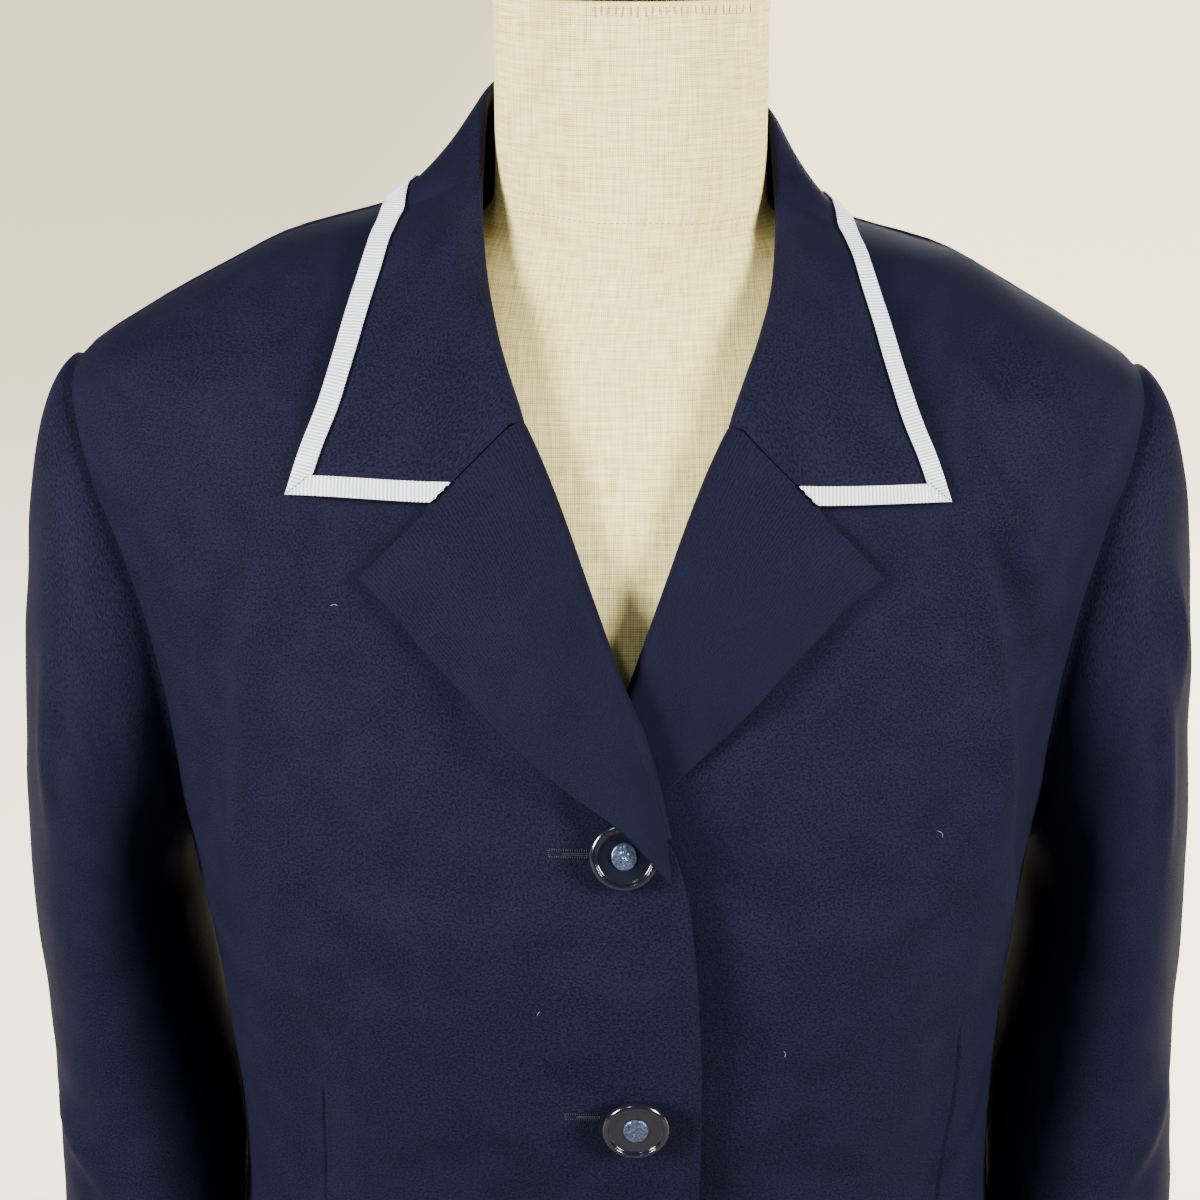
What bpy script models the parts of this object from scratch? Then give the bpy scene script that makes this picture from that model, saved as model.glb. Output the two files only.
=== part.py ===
"""Blazer worn on a limbless dress form: every sewn piece is its own solid.

Metres, +Z up, the front faces -Y.  Right and left are the wearer's, so the right front, which lies
on top where the fronts cross, is at -X.  The cloth's tables give heights above or below the level of
the shoulder tips, and each object is raised to that level by its location.
"""
import math

import bmesh
import bpy
from mathutils import Matrix, Vector

TIP_HEIGHT = 0.755          # level of the shoulder tips above the floor
WALL = 0.0016               # thickness of one layer of cloth
SEAM_GAP = 0.0004           # air between two pieces that are sewn together
LAY_GAP = 0.0012            # air under a piece that lies on another
HEM = -0.570                # level of the jacket's hem
SHOULDER_TIP = 0.006        # level of the armhole's highest point
UNDERARM = -0.200           # level of the armhole's lowest point
CENTRE_X = 0.0015           # the fronts close this far to the wearer's left of the middle
FRONT_POWER = 2.35          # how square the front half of a body ring is, 2 being an ellipse
BACK_POWER = 2.5

# Rings of the jacket's outer face: the shoulder line is where a ring's front and back halves meet.
BODY_COLUMNS = ("height", "half_width", "front", "back", "side_y")
BODY_ROWS = (
    (0.0880, 0.0240, 0.0100, 0.0330, 0.000),
    (0.0810, 0.0440, 0.0220, 0.0500, 0.000),
    (0.0730, 0.0620, 0.0340, 0.0590, 0.000),
    (0.0630, 0.0917, 0.0460, 0.0670, 0.000),
    (0.0520, 0.1300, 0.0570, 0.0750, -0.002),
    (0.0420, 0.1493, 0.0650, 0.0825, -0.004),
    (0.0240, 0.1812, 0.0810, 0.0895, -0.008),
    (0.0060, 0.2072, 0.0960, 0.0960, -0.011),
    (-0.0250, 0.2060, 0.1120, 0.1040, -0.011),
    (-0.0500, 0.2025, 0.1220, 0.1090, -0.010),
    (-0.1000, 0.1925, 0.1370, 0.1150, -0.006),
    (-0.1500, 0.1810, 0.1500, 0.1150, -0.002),
    (-0.2000, 0.1720, 0.1550, 0.1100, 0.000),
    (-0.2500, 0.1660, 0.1500, 0.1000, 0.000),
    (-0.3300, 0.1620, 0.1350, 0.0880, 0.000),
    (-0.4500, 0.1740, 0.1380, 0.1020, 0.000),
    (-0.5700, 0.1820, 0.1450, 0.1180, 0.000),
)

# Inner edge of a front panel: neck seam under the collar, roll line, then the straight front edge.
FRONT_EDGE_COLUMNS = ("height", "reach")
FRONT_EDGE_ROWS = (
    (0.0730, 0.0690), (0.0550, 0.0665), (0.0420, 0.0625), (0.0300, 0.0560), (0.0000, 0.0412),
    (-0.0180, 0.0330), (-0.0360, 0.0255), (-0.0539, 0.0186), (-0.0725, 0.0116), (-0.0896, 0.0050), (-0.1035, -0.0012),
    (-0.1200, -0.0065), (-0.1398, -0.0110), (-0.1500, -0.0160), (-0.1644, -0.0210),
    (-0.2017, -0.0254), (-0.2415, -0.0272), (-0.2900, -0.0275), (-0.5700, -0.0275),
)

# Half of the collar, from the gorge (share 0) to the middle of the back (share 1).
COLLAR_COLUMNS = ("share", "roll_x", "roll_y", "roll_z", "edge_x", "edge_y", "edge_z",
                  "seam_x", "seam_y", "seam_z")
COLLAR_ROWS = (
    (0.00, 0.0365, -0.0985, -0.0003, 0.1190, -0.0900, -0.0305, 0.0450, -0.0900, -0.0030),
    (0.12, 0.0420, -0.0890, 0.0140, 0.1140, -0.0830, -0.0140, 0.0500, -0.0820, 0.0100),
    (0.25, 0.0485, -0.0740, 0.0310, 0.1070, -0.0760, 0.0050, 0.0570, -0.0680, 0.0260),
    (0.40, 0.0545, -0.0500, 0.0500, 0.0995, -0.0660, 0.0250, 0.0620, -0.0470, 0.0430),
    (0.55, 0.0572, -0.0230, 0.0770, 0.0940, -0.0400, 0.0440, 0.0620, -0.0270, 0.0590),
    (0.66, 0.0572, 0.0020, 0.1000, 0.0895, -0.0080, 0.0560, 0.0635, -0.0010, 0.0714),
    (0.78, 0.0510, 0.0345, 0.1090, 0.0815, 0.0400, 0.0500, 0.0545, 0.0380, 0.0714),
    (0.90, 0.0310, 0.0600, 0.1140, 0.0540, 0.0770, 0.0480, 0.0320, 0.0560, 0.0714),
    (1.00, 0.0000, 0.0690, 0.1155, 0.0000, 0.0940, 0.0460, 0.0000, 0.0605, 0.0714),
)
COLLAR_STATIONS = (0.0, 0.065, 0.13, 0.20, 0.28, 0.36, 0.44, 0.52, 0.59, 0.66, 0.73, 0.80, 0.87,
                   0.94, 1.0)
NOTCH_SHARE = 0.36          # share of the collar's front edge that is sewn to the lapel
NOTCH_DROP = 0.0178         # how far the notch lies below the straight line from roll to corner

# One lapel, from the gorge (share 0) to the lower end of the roll (share 1).
LAPEL_COLUMNS = ("share", "roll_x", "roll_z", "edge_x", "edge_z", "bloom")
LAPEL_ROWS = (
    (0.00, 0.0360, -0.0012, 0.0920, -0.0525, 0.0004),
    (0.15, 0.0275, -0.0190, 0.0800, -0.0645, 0.0012),
    (0.30, 0.0205, -0.0360, 0.0675, -0.0765, 0.0020),
    (0.45, 0.0138, -0.0539, 0.0550, -0.0885, 0.0030),
    (0.60, 0.0068, -0.0725, 0.0420, -0.1015, 0.0042),
    (0.72, 0.0003, -0.0896, 0.0295, -0.1130, 0.0054),
    (0.82, -0.0060, -0.1035, 0.0165, -0.1235, 0.0066),
    (0.91, -0.0110, -0.1200, 0.0005, -0.1355, 0.0076),
    (1.00, -0.0157, -0.1400, -0.0150, -0.1530, 0.0078),
)
LAPEL_STATIONS = 13
LAPEL_BELLY = {-1: 0.0045, 1: -0.0015}      # how far each lapel's lower edge bows out
LEFT_LAPEL_END = 0.90       # the left lapel passes under the right front and stops there
LEFT_ROLL_END = 0.77        # and its roll stops sooner
FOLD_RADIUS = 1.5 * WALL + LAY_GAP  # of the cloth's face where it turns over a panel's edge
COLLAR_ROLL_RADIUS = 0.0026 # of the collar's roll, where nothing lies inside it
COLLAR_GAP = 0.0028         # air under the collar on the shoulders and the back
COLLAR_FALL = (0.44, 0.58)  # shares of run and drop where the collar's fall turns outwards

# The jacket hangs a little unevenly on the form.
LEFT_DROP = 0.0060          # how far the wearer's left shoulder lies lower
SHOULDER_SHIFT = 0.0045     # how far the shoulders lie to the wearer's right
COLLAR_ROLL_SHIFT = 0.0030  # how far the collar's roll lies to the wearer's left
COLLAR_EDGE_SHIFT = -0.0010
COLLAR_TILT = 0.0030        # how far the collar's roll lies lower on the wearer's left

CROSS_LIFT = 0.0088         # the right front's rise where it crosses the left lapel
OVERLAP_LIFT = 0.0034       # and its rise lower down, over the left front alone

# Sleeve rings below the underarm; the reach is measured from the middle of the jacket.
SLEEVE_COLUMNS = ("height", "inner", "outer", "middle_y", "half_depth")
SLEEVE_ROWS = (
    (-0.215, 0.1755, 0.2375, -0.006, 0.0740),
    (-0.260, 0.1720, 0.2385, -0.006, 0.0700),
    (-0.330, 0.1690, 0.2410, -0.008, 0.0640),
    (-0.400, 0.1740, 0.2440, -0.014, 0.0605),
    (-0.480, 0.1815, 0.2475, -0.023, 0.0570),
    (-0.585, 0.1895, 0.2530, -0.036, 0.0540),
)
SLEEVE_POWER = 2.2
ARMHOLE_STEPS = 11          # rows of a panel, and strips of half a sleeve, between tip and underarm
FRONT_SEAM_STEP = 8.5       # steps forward from the outermost line to the front seam of the sleeve
BACK_SEAM_STEP = 6.5        # and backward to its back seam
SLEEVE_SEAM_GAP = 0.022     # steps between such a seam's middle and each piece
SLEEVE_CLEAR = 0.0015       # least distance of the sleeve from the body's face
ARMHOLE_FRONT = 0.075
ARMHOLE_BACK = 0.062

# Long soft folds: which half, line ends as (x, height), width and rise of the ridge.
FOLD_COLUMNS = ("face", "x0", "z0", "x1", "z1", "width", "rise")
FOLDS = (
    ("front", -0.132, -0.100, -0.128, -0.235, 0.013, 0.0030),
    ("front", 0.134, -0.085, 0.141, -0.235, 0.012, 0.0030),
    ("front", 0.150, -0.010, 0.160, -0.075, 0.010, 0.0022),
    ("front", -0.112, -0.215, -0.120, -0.300, 0.013, -0.0022),
    ("front", 0.127, -0.235, 0.124, -0.420, 0.012, -0.0026),
    ("front", -0.127, -0.245, -0.124, -0.420, 0.012, -0.0026),
    ("front", 0.095, -0.440, 0.100, -0.580, 0.030, 0.0040),
    ("front", -0.098, -0.450, -0.105, -0.580, 0.030, 0.0040),
    ("back", -0.120, -0.060, -0.135, -0.210, 0.018, 0.0035),
    ("back", 0.118, -0.060, 0.132, -0.210, 0.018, 0.0035),
    ("back", -0.070, -0.300, -0.085, -0.560, 0.026, 0.0036),
    ("back", 0.074, -0.300, 0.088, -0.560, 0.026, 0.0036),
)

# The dress form's rings.
FORM_COLUMNS = ("height", "middle_x", "half_width", "front", "back", "power")
FORM_ROWS = (
    (0.142, 0.004, 0.0528, 0.0510, 0.0510, 2.0),
    (0.110, 0.004, 0.0527, 0.0515, 0.0510, 2.0),
    (0.080, 0.004, 0.0527, 0.0520, 0.0515, 2.0),
    (0.066, 0.004, 0.0545, 0.0535, 0.0530, 2.0),
    (0.058, 0.003, 0.0620, 0.0550, 0.0560, 1.8),
    (0.050, 0.003, 0.0830, 0.0570, 0.0600, 1.65),
    (0.042, 0.002, 0.1040, 0.0590, 0.0640, 1.6),
    (0.030, 0.001, 0.1280, 0.0640, 0.0700, 1.65),
    (0.018, 0.000, 0.1480, 0.0720, 0.0750, 1.8),
    (0.004, 0.000, 0.1610, 0.0820, 0.0810, 2.0),
    (-0.012, 0.000, 0.1680, 0.0920, 0.0870, 2.2),
    (-0.035, 0.000, 0.1720, 0.1050, 0.0930, 2.3),
    (-0.070, 0.000, 0.1700, 0.1170, 0.0990, 2.3),
    (-0.120, 0.000, 0.1630, 0.1310, 0.1020, 2.3),
    (-0.160, 0.000, 0.1580, 0.1400, 0.1000, 2.3),
    (-0.200, 0.000, 0.1550, 0.1430, 0.0960, 2.3),
    (-0.250, 0.000, 0.1500, 0.1380, 0.0870, 2.3),
    (-0.330, 0.000, 0.1470, 0.1230, 0.0750, 2.3),
    (-0.450, 0.000, 0.1590, 0.1250, 0.0880, 2.3),
    (-0.540, 0.000, 0.1660, 0.1300, 0.1020, 2.3),
    (-0.620, 0.000, 0.1640, 0.1260, 0.1030, 2.3),
)
FORM_SEGMENTS = 32

NECK_CAP_HEIGHT = 0.016
POLE_RADIUS = 0.014
POLE_SOCKET_GAP = 0.0004
BASE_RADIUS = 0.150
BASE_THICKNESS = 0.014

RIBBON_WIDTH = 0.0075
RIBBON_WALL = 0.0010
RIBBON_GAP = 0.0018

BUTTON_RADIUS = 0.0125
BUTTON_THICKNESS = 0.0040
BUTTON_STAND_OFF = 0.0028   # from the cloth to the disc's back, along the shank
SHANK_RADIUS = 0.0032
SHANK_CLEAR = 0.0012
BUTTON_X = (0.0005, 0.0050, 0.0060)
BUTTON_HEIGHTS = (-0.1445, -0.2500, -0.3550)
INSET_HALF_WIDTH = 0.0045
INSET_HALF_HEIGHT = 0.0048
INSET_RISE = 0.0009


def table_reader(columns, rows):
    """A function that gives a smooth value of a named column between a table's rows."""
    keys = [row[0] for row in rows]
    order = sorted(range(len(rows)), key=lambda i: keys[i])
    knots = [keys[i] for i in order]

    def slopes(values):
        steps = [(values[i + 1] - values[i]) / (knots[i + 1] - knots[i]) for i in range(len(knots) - 1)]
        result = [steps[0]]
        for left, right in zip(steps, steps[1:]):
            flat = left * right <= 0.0
            result.append(0.0 if flat else 2.0 * left * right / (left + right))
        result.append(steps[-1])
        return result

    curves = {}
    for number, name in enumerate(columns[1:], start=1):
        values = [rows[i][number] for i in order]
        curves[name] = (values, slopes(values))

    def read(name, key):
        values, tangents = curves[name]
        key = min(max(key, knots[0]), knots[-1])
        i = 0
        while i < len(knots) - 2 and key > knots[i + 1]:
            i += 1
        span = knots[i + 1] - knots[i]
        s = (key - knots[i]) / span
        return ((2 * s ** 3 - 3 * s ** 2 + 1) * values[i] + (s ** 3 - 2 * s ** 2 + s) * span * tangents[i]
                + (3 * s ** 2 - 2 * s ** 3) * values[i + 1] + (s ** 3 - s ** 2) * span * tangents[i + 1])

    return read


body = table_reader(BODY_COLUMNS, BODY_ROWS)
front_edge = table_reader(FRONT_EDGE_COLUMNS, FRONT_EDGE_ROWS)
collar = table_reader(COLLAR_COLUMNS, COLLAR_ROWS)
lapel = table_reader(LAPEL_COLUMNS, LAPEL_ROWS)
sleeve = table_reader(SLEEVE_COLUMNS, SLEEVE_ROWS)
form = table_reader(FORM_COLUMNS, FORM_ROWS)


def mix(a, b, share):
    return a + (b - a) * share


def smooth_step(low, high, value):
    share = min(max((value - low) / (high - low), 0.0), 1.0)
    return share * share * (3.0 - 2.0 * share)


def body_level(point):
    """0 on the jacket's outer face, negative inside it."""
    side_y = body("side_y", point.z)
    forward = point.y < side_y
    depth = body("front", point.z) + side_y if forward else body("back", point.z) - side_y
    power = FRONT_POWER if forward else BACK_POWER
    across = abs(point.x) / body("half_width", point.z)
    along = abs(point.y - side_y) / depth
    return (across ** power + along ** power) ** (1.0 / power) - 1.0


def body_gradient(point):
    step = 0.0004
    result = []
    for axis in (Vector((step, 0, 0)), Vector((0, step, 0)), Vector((0, 0, step))):
        result.append((body_level(point + axis) - body_level(point - axis)) / (2.0 * step))
    return Vector(result)


def body_normal(point):
    return body_gradient(point).normalized()


def off_body(point, height):
    """The point moved square to the jacket's face until it stands this high above it."""
    for _ in range(4):
        gradient = body_gradient(point)
        distance = body_level(point) / gradient.length
        point = point + gradient.normalized() * (height - distance)
    return point


def fold_rise(point):
    """Rise of the soft folds at a point of the jacket's face."""
    face = "front" if point.y < body("side_y", point.z) else "back"
    total = 0.0
    for row in FOLDS:
        fold = dict(zip(FOLD_COLUMNS, row))
        if fold["face"] != face:
            continue
        start = Vector((fold["x0"], fold["z0"]))
        run = Vector((fold["x1"], fold["z1"])) - start
        here = Vector((point.x, point.z)) - start
        share = min(max(here.dot(run) / run.length_squared, 0.0), 1.0)
        apart = (here - run * share).length
        fade = 0.35 + 0.65 * math.sin(math.pi * mix(0.12, 0.88, share))
        total += fold["rise"] * fade * math.exp(-(apart / fold["width"]) ** 2)
    return total


def right_front_lift(point):
    """How far the right front stands off, to pass over the left one."""
    lift = mix(OVERLAP_LIFT, CROSS_LIFT, smooth_step(-0.420, -0.150, point.z))
    across = smooth_step(-0.060, -0.020, point.x)
    down = smooth_step(0.0, 1.0, (-0.040 - point.z) / 0.045)
    return lift * across * down


def panel_lift(side, point):
    return right_front_lift(point) if side < 0 else 0.0


def settled(point):
    """A point of the even jacket moved to where the jacket hangs."""
    high = smooth_step(-0.050, 0.030, point.z)
    drop = LEFT_DROP * smooth_step(-0.020, 0.100, point.x) * high
    aside = SHOULDER_SHIFT * smooth_step(0.100, 0.200, abs(point.x)) * smooth_step(-0.400, -0.180, point.z)
    return Vector((point.x - aside, point.y, point.z - drop))


def ring_point(side, face, turn, height):
    """A point of a body ring; turn runs from 0 at the middle to a right angle at the side."""
    forward = face == "front"
    power = FRONT_POWER if forward else BACK_POWER
    side_y = body("side_y", height)
    depth = body("front", height) + side_y if forward else side_y - body("back", height)
    across = math.copysign(abs(math.sin(turn)) ** (2.0 / power), math.sin(turn))
    along = max(math.cos(turn), 0.0) ** (2.0 / power)
    return Vector((side * body("half_width", height) * across, side_y - depth * along, height))


def turn_at_x(face, x, height):
    power = FRONT_POWER if face == "front" else BACK_POWER
    share = min(abs(x) / body("half_width", height), 1.0)
    return math.copysign(math.asin(share ** (power / 2.0)), x)


def armhole_angle(height):
    middle = (SHOULDER_TIP + UNDERARM) / 2.0
    return math.acos(min(max((height - middle) / (SHOULDER_TIP - middle), -1.0), 1.0))


def armhole_y(face, angle):
    reach = ARMHOLE_FRONT if face == "front" else ARMHOLE_BACK
    return reach * math.sin(angle) * (1.0 - 0.15 * math.cos(angle))


def turn_at_armhole(face, height):
    """Where a panel stops: at the side seam, the shoulder seam or the armhole."""
    if height >= SHOULDER_TIP or height <= UNDERARM:
        return math.pi / 2.0
    power = FRONT_POWER if face == "front" else BACK_POWER
    side_y = body("side_y", height)
    depth = body("front", height) + side_y if face == "front" else body("back", height) - side_y
    share = armhole_y(face, armhole_angle(height)) / depth
    return math.acos(min(share, 1.0) ** (power / 2.0))


def armhole_point(side, angle):
    """The armhole's edge; the angle runs from 0 at the shoulder tip, down the front, up the back."""
    face = "front" if math.sin(angle) >= 0.0 else "back"
    middle = (SHOULDER_TIP + UNDERARM) / 2.0
    height = middle + (SHOULDER_TIP - middle) * math.cos(angle)
    half_turn = angle if face == "front" else 2.0 * math.pi - angle
    turn = turn_at_armhole(face, height)
    if half_turn in (0.0, math.pi):
        turn = math.pi / 2.0
    return ring_point(side, face, turn, height)


def panel_rows():
    shoulder = [0.0690, 0.0645, 0.0590, 0.0520, 0.0430, 0.0305, 0.0170]
    middle = (SHOULDER_TIP + UNDERARM) / 2.0
    arm = [middle + (SHOULDER_TIP - middle) * math.cos(math.pi * i / ARMHOLE_STEPS)
           for i in range(ARMHOLE_STEPS + 1)]
    lower_steps = 9
    lower = [mix(UNDERARM, HEM, i / lower_steps) for i in range(1, lower_steps + 1)]
    return shoulder + arm + lower


def material(name, color, roughness, metallic=0.0):
    result = bpy.data.materials.new(name)
    result.use_nodes = True
    shader = result.node_tree.nodes["Principled BSDF"]
    shader.inputs["Base Color"].default_value = (*color, 1.0)
    shader.inputs["Roughness"].default_value = roughness
    shader.inputs["Metallic"].default_value = metallic
    return result


def add_object(name, mesh, surface, collection):
    """Puts a finished mesh in the collection, with a material of its own."""
    mesh.materials.append(material(name, *surface))
    mesh.shade_smooth()
    mesh.set_sharp_from_angle(angle=math.radians(40))
    result = bpy.data.objects.new(name, mesh)
    result.location.z = TIP_HEIGHT
    collection.objects.link(result)
    return result


def grid_mesh(name, rows, columns, place):
    """A grid whose points are placed by a function of the row's and the column's values."""
    mesh_data = bmesh.new()
    bmesh.ops.create_grid(mesh_data, x_segments=len(columns) - 1, y_segments=len(rows) - 1, size=1.0)
    for vertex in mesh_data.verts:
        column = round((vertex.co.x + 1.0) / 2.0 * (len(columns) - 1))
        row = round((vertex.co.y + 1.0) / 2.0 * (len(rows) - 1))
        vertex.co = place(rows[row], columns[column])
    mesh = bpy.data.meshes.new(name)
    mesh_data.to_mesh(mesh)
    mesh_data.free()
    return mesh


def sheet(name, rows, columns, place, outward, surface, collection, wall=WALL):
    """A piece of cloth: its outer face on a grid, thickened inwards."""
    mesh = grid_mesh(name, rows, columns, place)
    sample = place(rows[len(rows) * 2 // 3], columns[-1])
    nearest = min(mesh.polygons, key=lambda face: (face.center - sample).length)
    if nearest.normal.dot(outward(sample)) < 0.0:
        mesh.flip_normals()
    result = add_object(name, mesh, surface, collection)
    thick = result.modifiers.new("cloth thickness", "SOLIDIFY")
    thick.thickness = wall
    thick.offset = -1.0
    return result


def turned_solid(name, profile, steps, surface, collection):
    """A turned shape: its profile, from the axis out and back, swept by a Screw modifier."""
    mesh = bpy.data.meshes.new(name)
    edges = [(i, i + 1) for i in range(len(profile) - 1)]
    mesh.from_pydata([(radius, 0.0, height) for radius, height in profile], edges, [])
    result = add_object(name, mesh, surface, collection)
    screw = result.modifiers.new("turn", "SCREW")
    screw.steps = steps
    screw.render_steps = steps
    screw.use_merge_vertices = True
    screw.merge_threshold = 0.00001
    return result


def even(count, low=0.0, high=1.0):
    return [mix(low, high, i / (count - 1)) for i in range(count)]


def make_front(name, side, surface, collection):
    def place(height, share):
        inner = turn_at_x("front", front_edge("reach", height) + side * CENTRE_X, height)
        outer = turn_at_armhole("front", height) - SEAM_GAP / body("half_width", height)
        turn = mix(min(inner, outer - 0.01), outer, share)
        point = ring_point(side, "front", turn, height)
        return settled(off_body(point, fold_rise(point) + panel_lift(side, point)))

    return sheet(name, panel_rows(), even(11), place, body_normal, surface, collection)


def make_back(name, side, surface, collection):
    def place(height, share):
        inner = turn_at_x("back", SEAM_GAP / 2.0, height)
        outer = turn_at_armhole("back", height) - SEAM_GAP / body("half_width", height)
        point = ring_point(side, "back", mix(inner, outer, share), height)
        return settled(off_body(point, fold_rise(point)))

    return sheet(name, panel_rows(), even(10), place, body_normal, surface, collection)


def sleeve_ring(side, turn, height):
    inner = sleeve("inner", height)
    outer = sleeve("outer", height)
    across = math.copysign(abs(math.cos(turn)) ** (2.0 / SLEEVE_POWER), math.cos(turn))
    along = math.copysign(abs(math.sin(turn)) ** (2.0 / SLEEVE_POWER), math.sin(turn))
    x = (inner + outer) / 2.0 + (outer - inner) / 2.0 * across
    y = sleeve("middle_y", height) - sleeve("half_depth", height) * along
    return Vector((side * x, y, height))


def sleeve_head(side, turn, share):
    """Between the armhole and the first full ring of the sleeve, on a cubic curve."""
    top = SLEEVE_ROWS[0][0]
    outward = (1.0 + math.cos(turn)) / 2.0
    forward = math.sin(turn)
    start = armhole_point(side, turn) + Vector((side * 0.0022, 0.0, 0.0))
    end = sleeve_ring(side, turn, top)
    rise = start.z - top
    near = start + Vector((side * mix(0.002, 0.020, outward), -0.010 * forward,
                           mix(-0.004, -0.007, outward)))
    far = end + Vector((side * -0.002 * outward, 0.0, rise * 0.52))
    rest = 1.0 - share
    return (start * rest ** 3 + near * 3 * rest ** 2 * share + far * 3 * rest * share ** 2
            + end * share ** 3)


def sleeve_point(side, station, turn):
    """Stations below 1 are on the sleeve head; the rest run down the sleeve to the cuff."""
    if station < 1.0:
        point = sleeve_head(side, turn, station)
    else:
        point = sleeve_ring(side, turn, mix(SLEEVE_ROWS[0][0], SLEEVE_ROWS[-1][0], station - 1.0))
    wanted = mix(SLEEVE_CLEAR, 2.0 * SLEEVE_CLEAR, min(station, 1.0))
    clear = body_level(point) / body_gradient(point).length
    return off_body(point, wanted) if clear < wanted else point


def make_sleeve(name, side, under, surface, collection):
    stations = even(8, 0.0, 1.0)[:-1] + even(9, 1.0, 2.0)
    step_angle = math.pi / ARMHOLE_STEPS
    if under:
        low = FRONT_SEAM_STEP + SLEEVE_SEAM_GAP
        high = 2 * ARMHOLE_STEPS - BACK_SEAM_STEP - SLEEVE_SEAM_GAP
    else:
        low = SLEEVE_SEAM_GAP - BACK_SEAM_STEP
        high = FRONT_SEAM_STEP - SLEEVE_SEAM_GAP
    steps = [low] + list(range(math.ceil(low), math.floor(high) + 1)) + [high]

    def place(station, step):
        return settled(sleeve_point(side, station, (step * step_angle) % (2.0 * math.pi)))

    def outward(point):
        middle = (sleeve("inner", point.z) + sleeve("outer", point.z)) / 2.0
        return point - Vector((side * middle, sleeve("middle_y", point.z), point.z))

    return sheet(name, stations, steps, place, outward, surface, collection)


def fold_section(crest, tangent, outward, hidden_end, radius, level):
    """Points round a folded edge, from its hidden end to where the upper layer starts.

    The crest is the outermost line of the fold.  Its middle lies on the level given, measured from
    the panel's face, and its hidden layer runs back to the end given."""
    towards = outward.cross(tangent).normalized()
    centre = crest - towards * radius + outward * level
    inner = centre - outward * radius
    points = [hidden_end, mix(hidden_end, inner, 0.5)]
    for angle in (-90, -45, 0, 45, 90):
        turn = math.radians(angle)
        points.append(centre + outward * (radius * math.sin(turn)) + towards * (radius * math.cos(turn)))
    return points


FOLD_POINTS = 7
LEAF_SHARES = (0.14, 0.25, NOTCH_SHARE, 0.52, 0.68, 0.84, 1.0)


def collar_roll(share):
    return Vector((collar("roll_x", share), collar("roll_y", share), collar("roll_z", share)))


def collar_frame(share):
    """Tangent and outward direction of the collar's roll at a share of its half."""
    step = 0.01
    low = max(share - step, 0.0)
    high = min(share + step, 1.0)
    tangent = (collar_roll(high) - collar_roll(low)).normalized()
    if share > 0.999:
        tangent = Vector((-1.0, 0.0, 0.0))
    level = Vector((collar("roll_x", share), collar("roll_y", share), 0.0)).normalized()
    surface = body_normal(Vector((collar("roll_x", share), collar("roll_y", share),
                                  min(collar("roll_z", share), 0.060))))
    outward = mix(surface, level, smooth_step(0.10, 0.55, share))
    outward = (outward - tangent * outward.dot(tangent)).normalized()
    return tangent, outward


def collar_fold(share):
    """Radius of the collar's roll and the level of its middle."""
    free = smooth_step(0.20, 0.50, share)
    return mix(FOLD_RADIUS, COLLAR_ROLL_RADIUS, free), mix(-WALL / 2.0, 0.0, free)


def leaf_point(share, across):
    """The collar's upper face between its roll and its outer edge, on the wearer's left."""
    tangent, outward = collar_frame(share)
    towards = outward.cross(tangent).normalized()
    radius, middle = collar_fold(share)
    start = collar_roll(share) - towards * radius + outward * (middle + radius)
    end = Vector((collar("edge_x", share), collar("edge_y", share), collar("edge_z", share)))
    run, drop = COLLAR_FALL
    bend = mix(start, end, run)
    bend.z = mix(start.z, end.z, drop)
    free = mix(mix(start, bend, across), mix(bend, end, across), across)
    lowest = WALL + mix(LAY_GAP, COLLAR_GAP, smooth_step(0.10, 0.35, share))
    if share > 0.36:
        standing = body_level(free) / body_gradient(free).length
        if standing < lowest:
            free = off_body(free, lowest)
    if share > 0.60:
        return free
    laid = mix(start, end, across)
    hat = across / NOTCH_SHARE if across < NOTCH_SHARE else (1.0 - across) / (1.0 - NOTCH_SHARE)
    laid.z -= NOTCH_DROP * hat * max(1.0 - share / 0.30, 0.0) ** 2
    laid.y = ring_point(1, "front", turn_at_x("front", laid.x, laid.z), laid.z).y
    laid = off_body(laid, lowest + 0.0008 * math.sin(math.pi * across))
    return mix(laid, free, smooth_step(0.36, 0.60, share))


def collar_section(share):
    tangent, outward = collar_frame(share)
    radius, middle = collar_fold(share)
    seam = Vector((collar("seam_x", share), collar("seam_y", share), collar("seam_z", share)))
    if share < 0.60:
        seam.y = ring_point(1, "front", turn_at_x("front", seam.x, seam.z), seam.z).y
        seam = off_body(seam, -2.0 * WALL - LAY_GAP)
    hidden = fold_section(collar_roll(share), tangent, outward, seam, radius, middle)
    return hidden + [leaf_point(share, across) for across in LEAF_SHARES]


def between(values, value):
    """The step of a rising list that holds a value, and the value's share of that step."""
    step = 0
    while step < len(values) - 2 and value > values[step + 1]:
        step += 1
    return step, (value - values[step]) / (values[step + 1] - values[step])


def on_leaf(sections, share, across, height):
    """A point this high above the flat faces between the collar's own points."""
    i, along = between(COLLAR_STATIONS, share)
    j, over = between((0.0,) + LEAF_SHARES, across)
    corners = [[sections[i + a][FOLD_POINTS - 1 + j + b] for b in (0, 1)] for a in (0, 1)]
    point = mix(mix(corners[0][0], corners[0][1], over), mix(corners[1][0], corners[1][1], over), along)
    normal = (corners[1][0] - corners[0][1]).cross(corners[1][1] - corners[0][0]).normalized()
    if normal.dot(body_normal(point)) < 0.0:
        normal = -normal
    return point + normal * height


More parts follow.
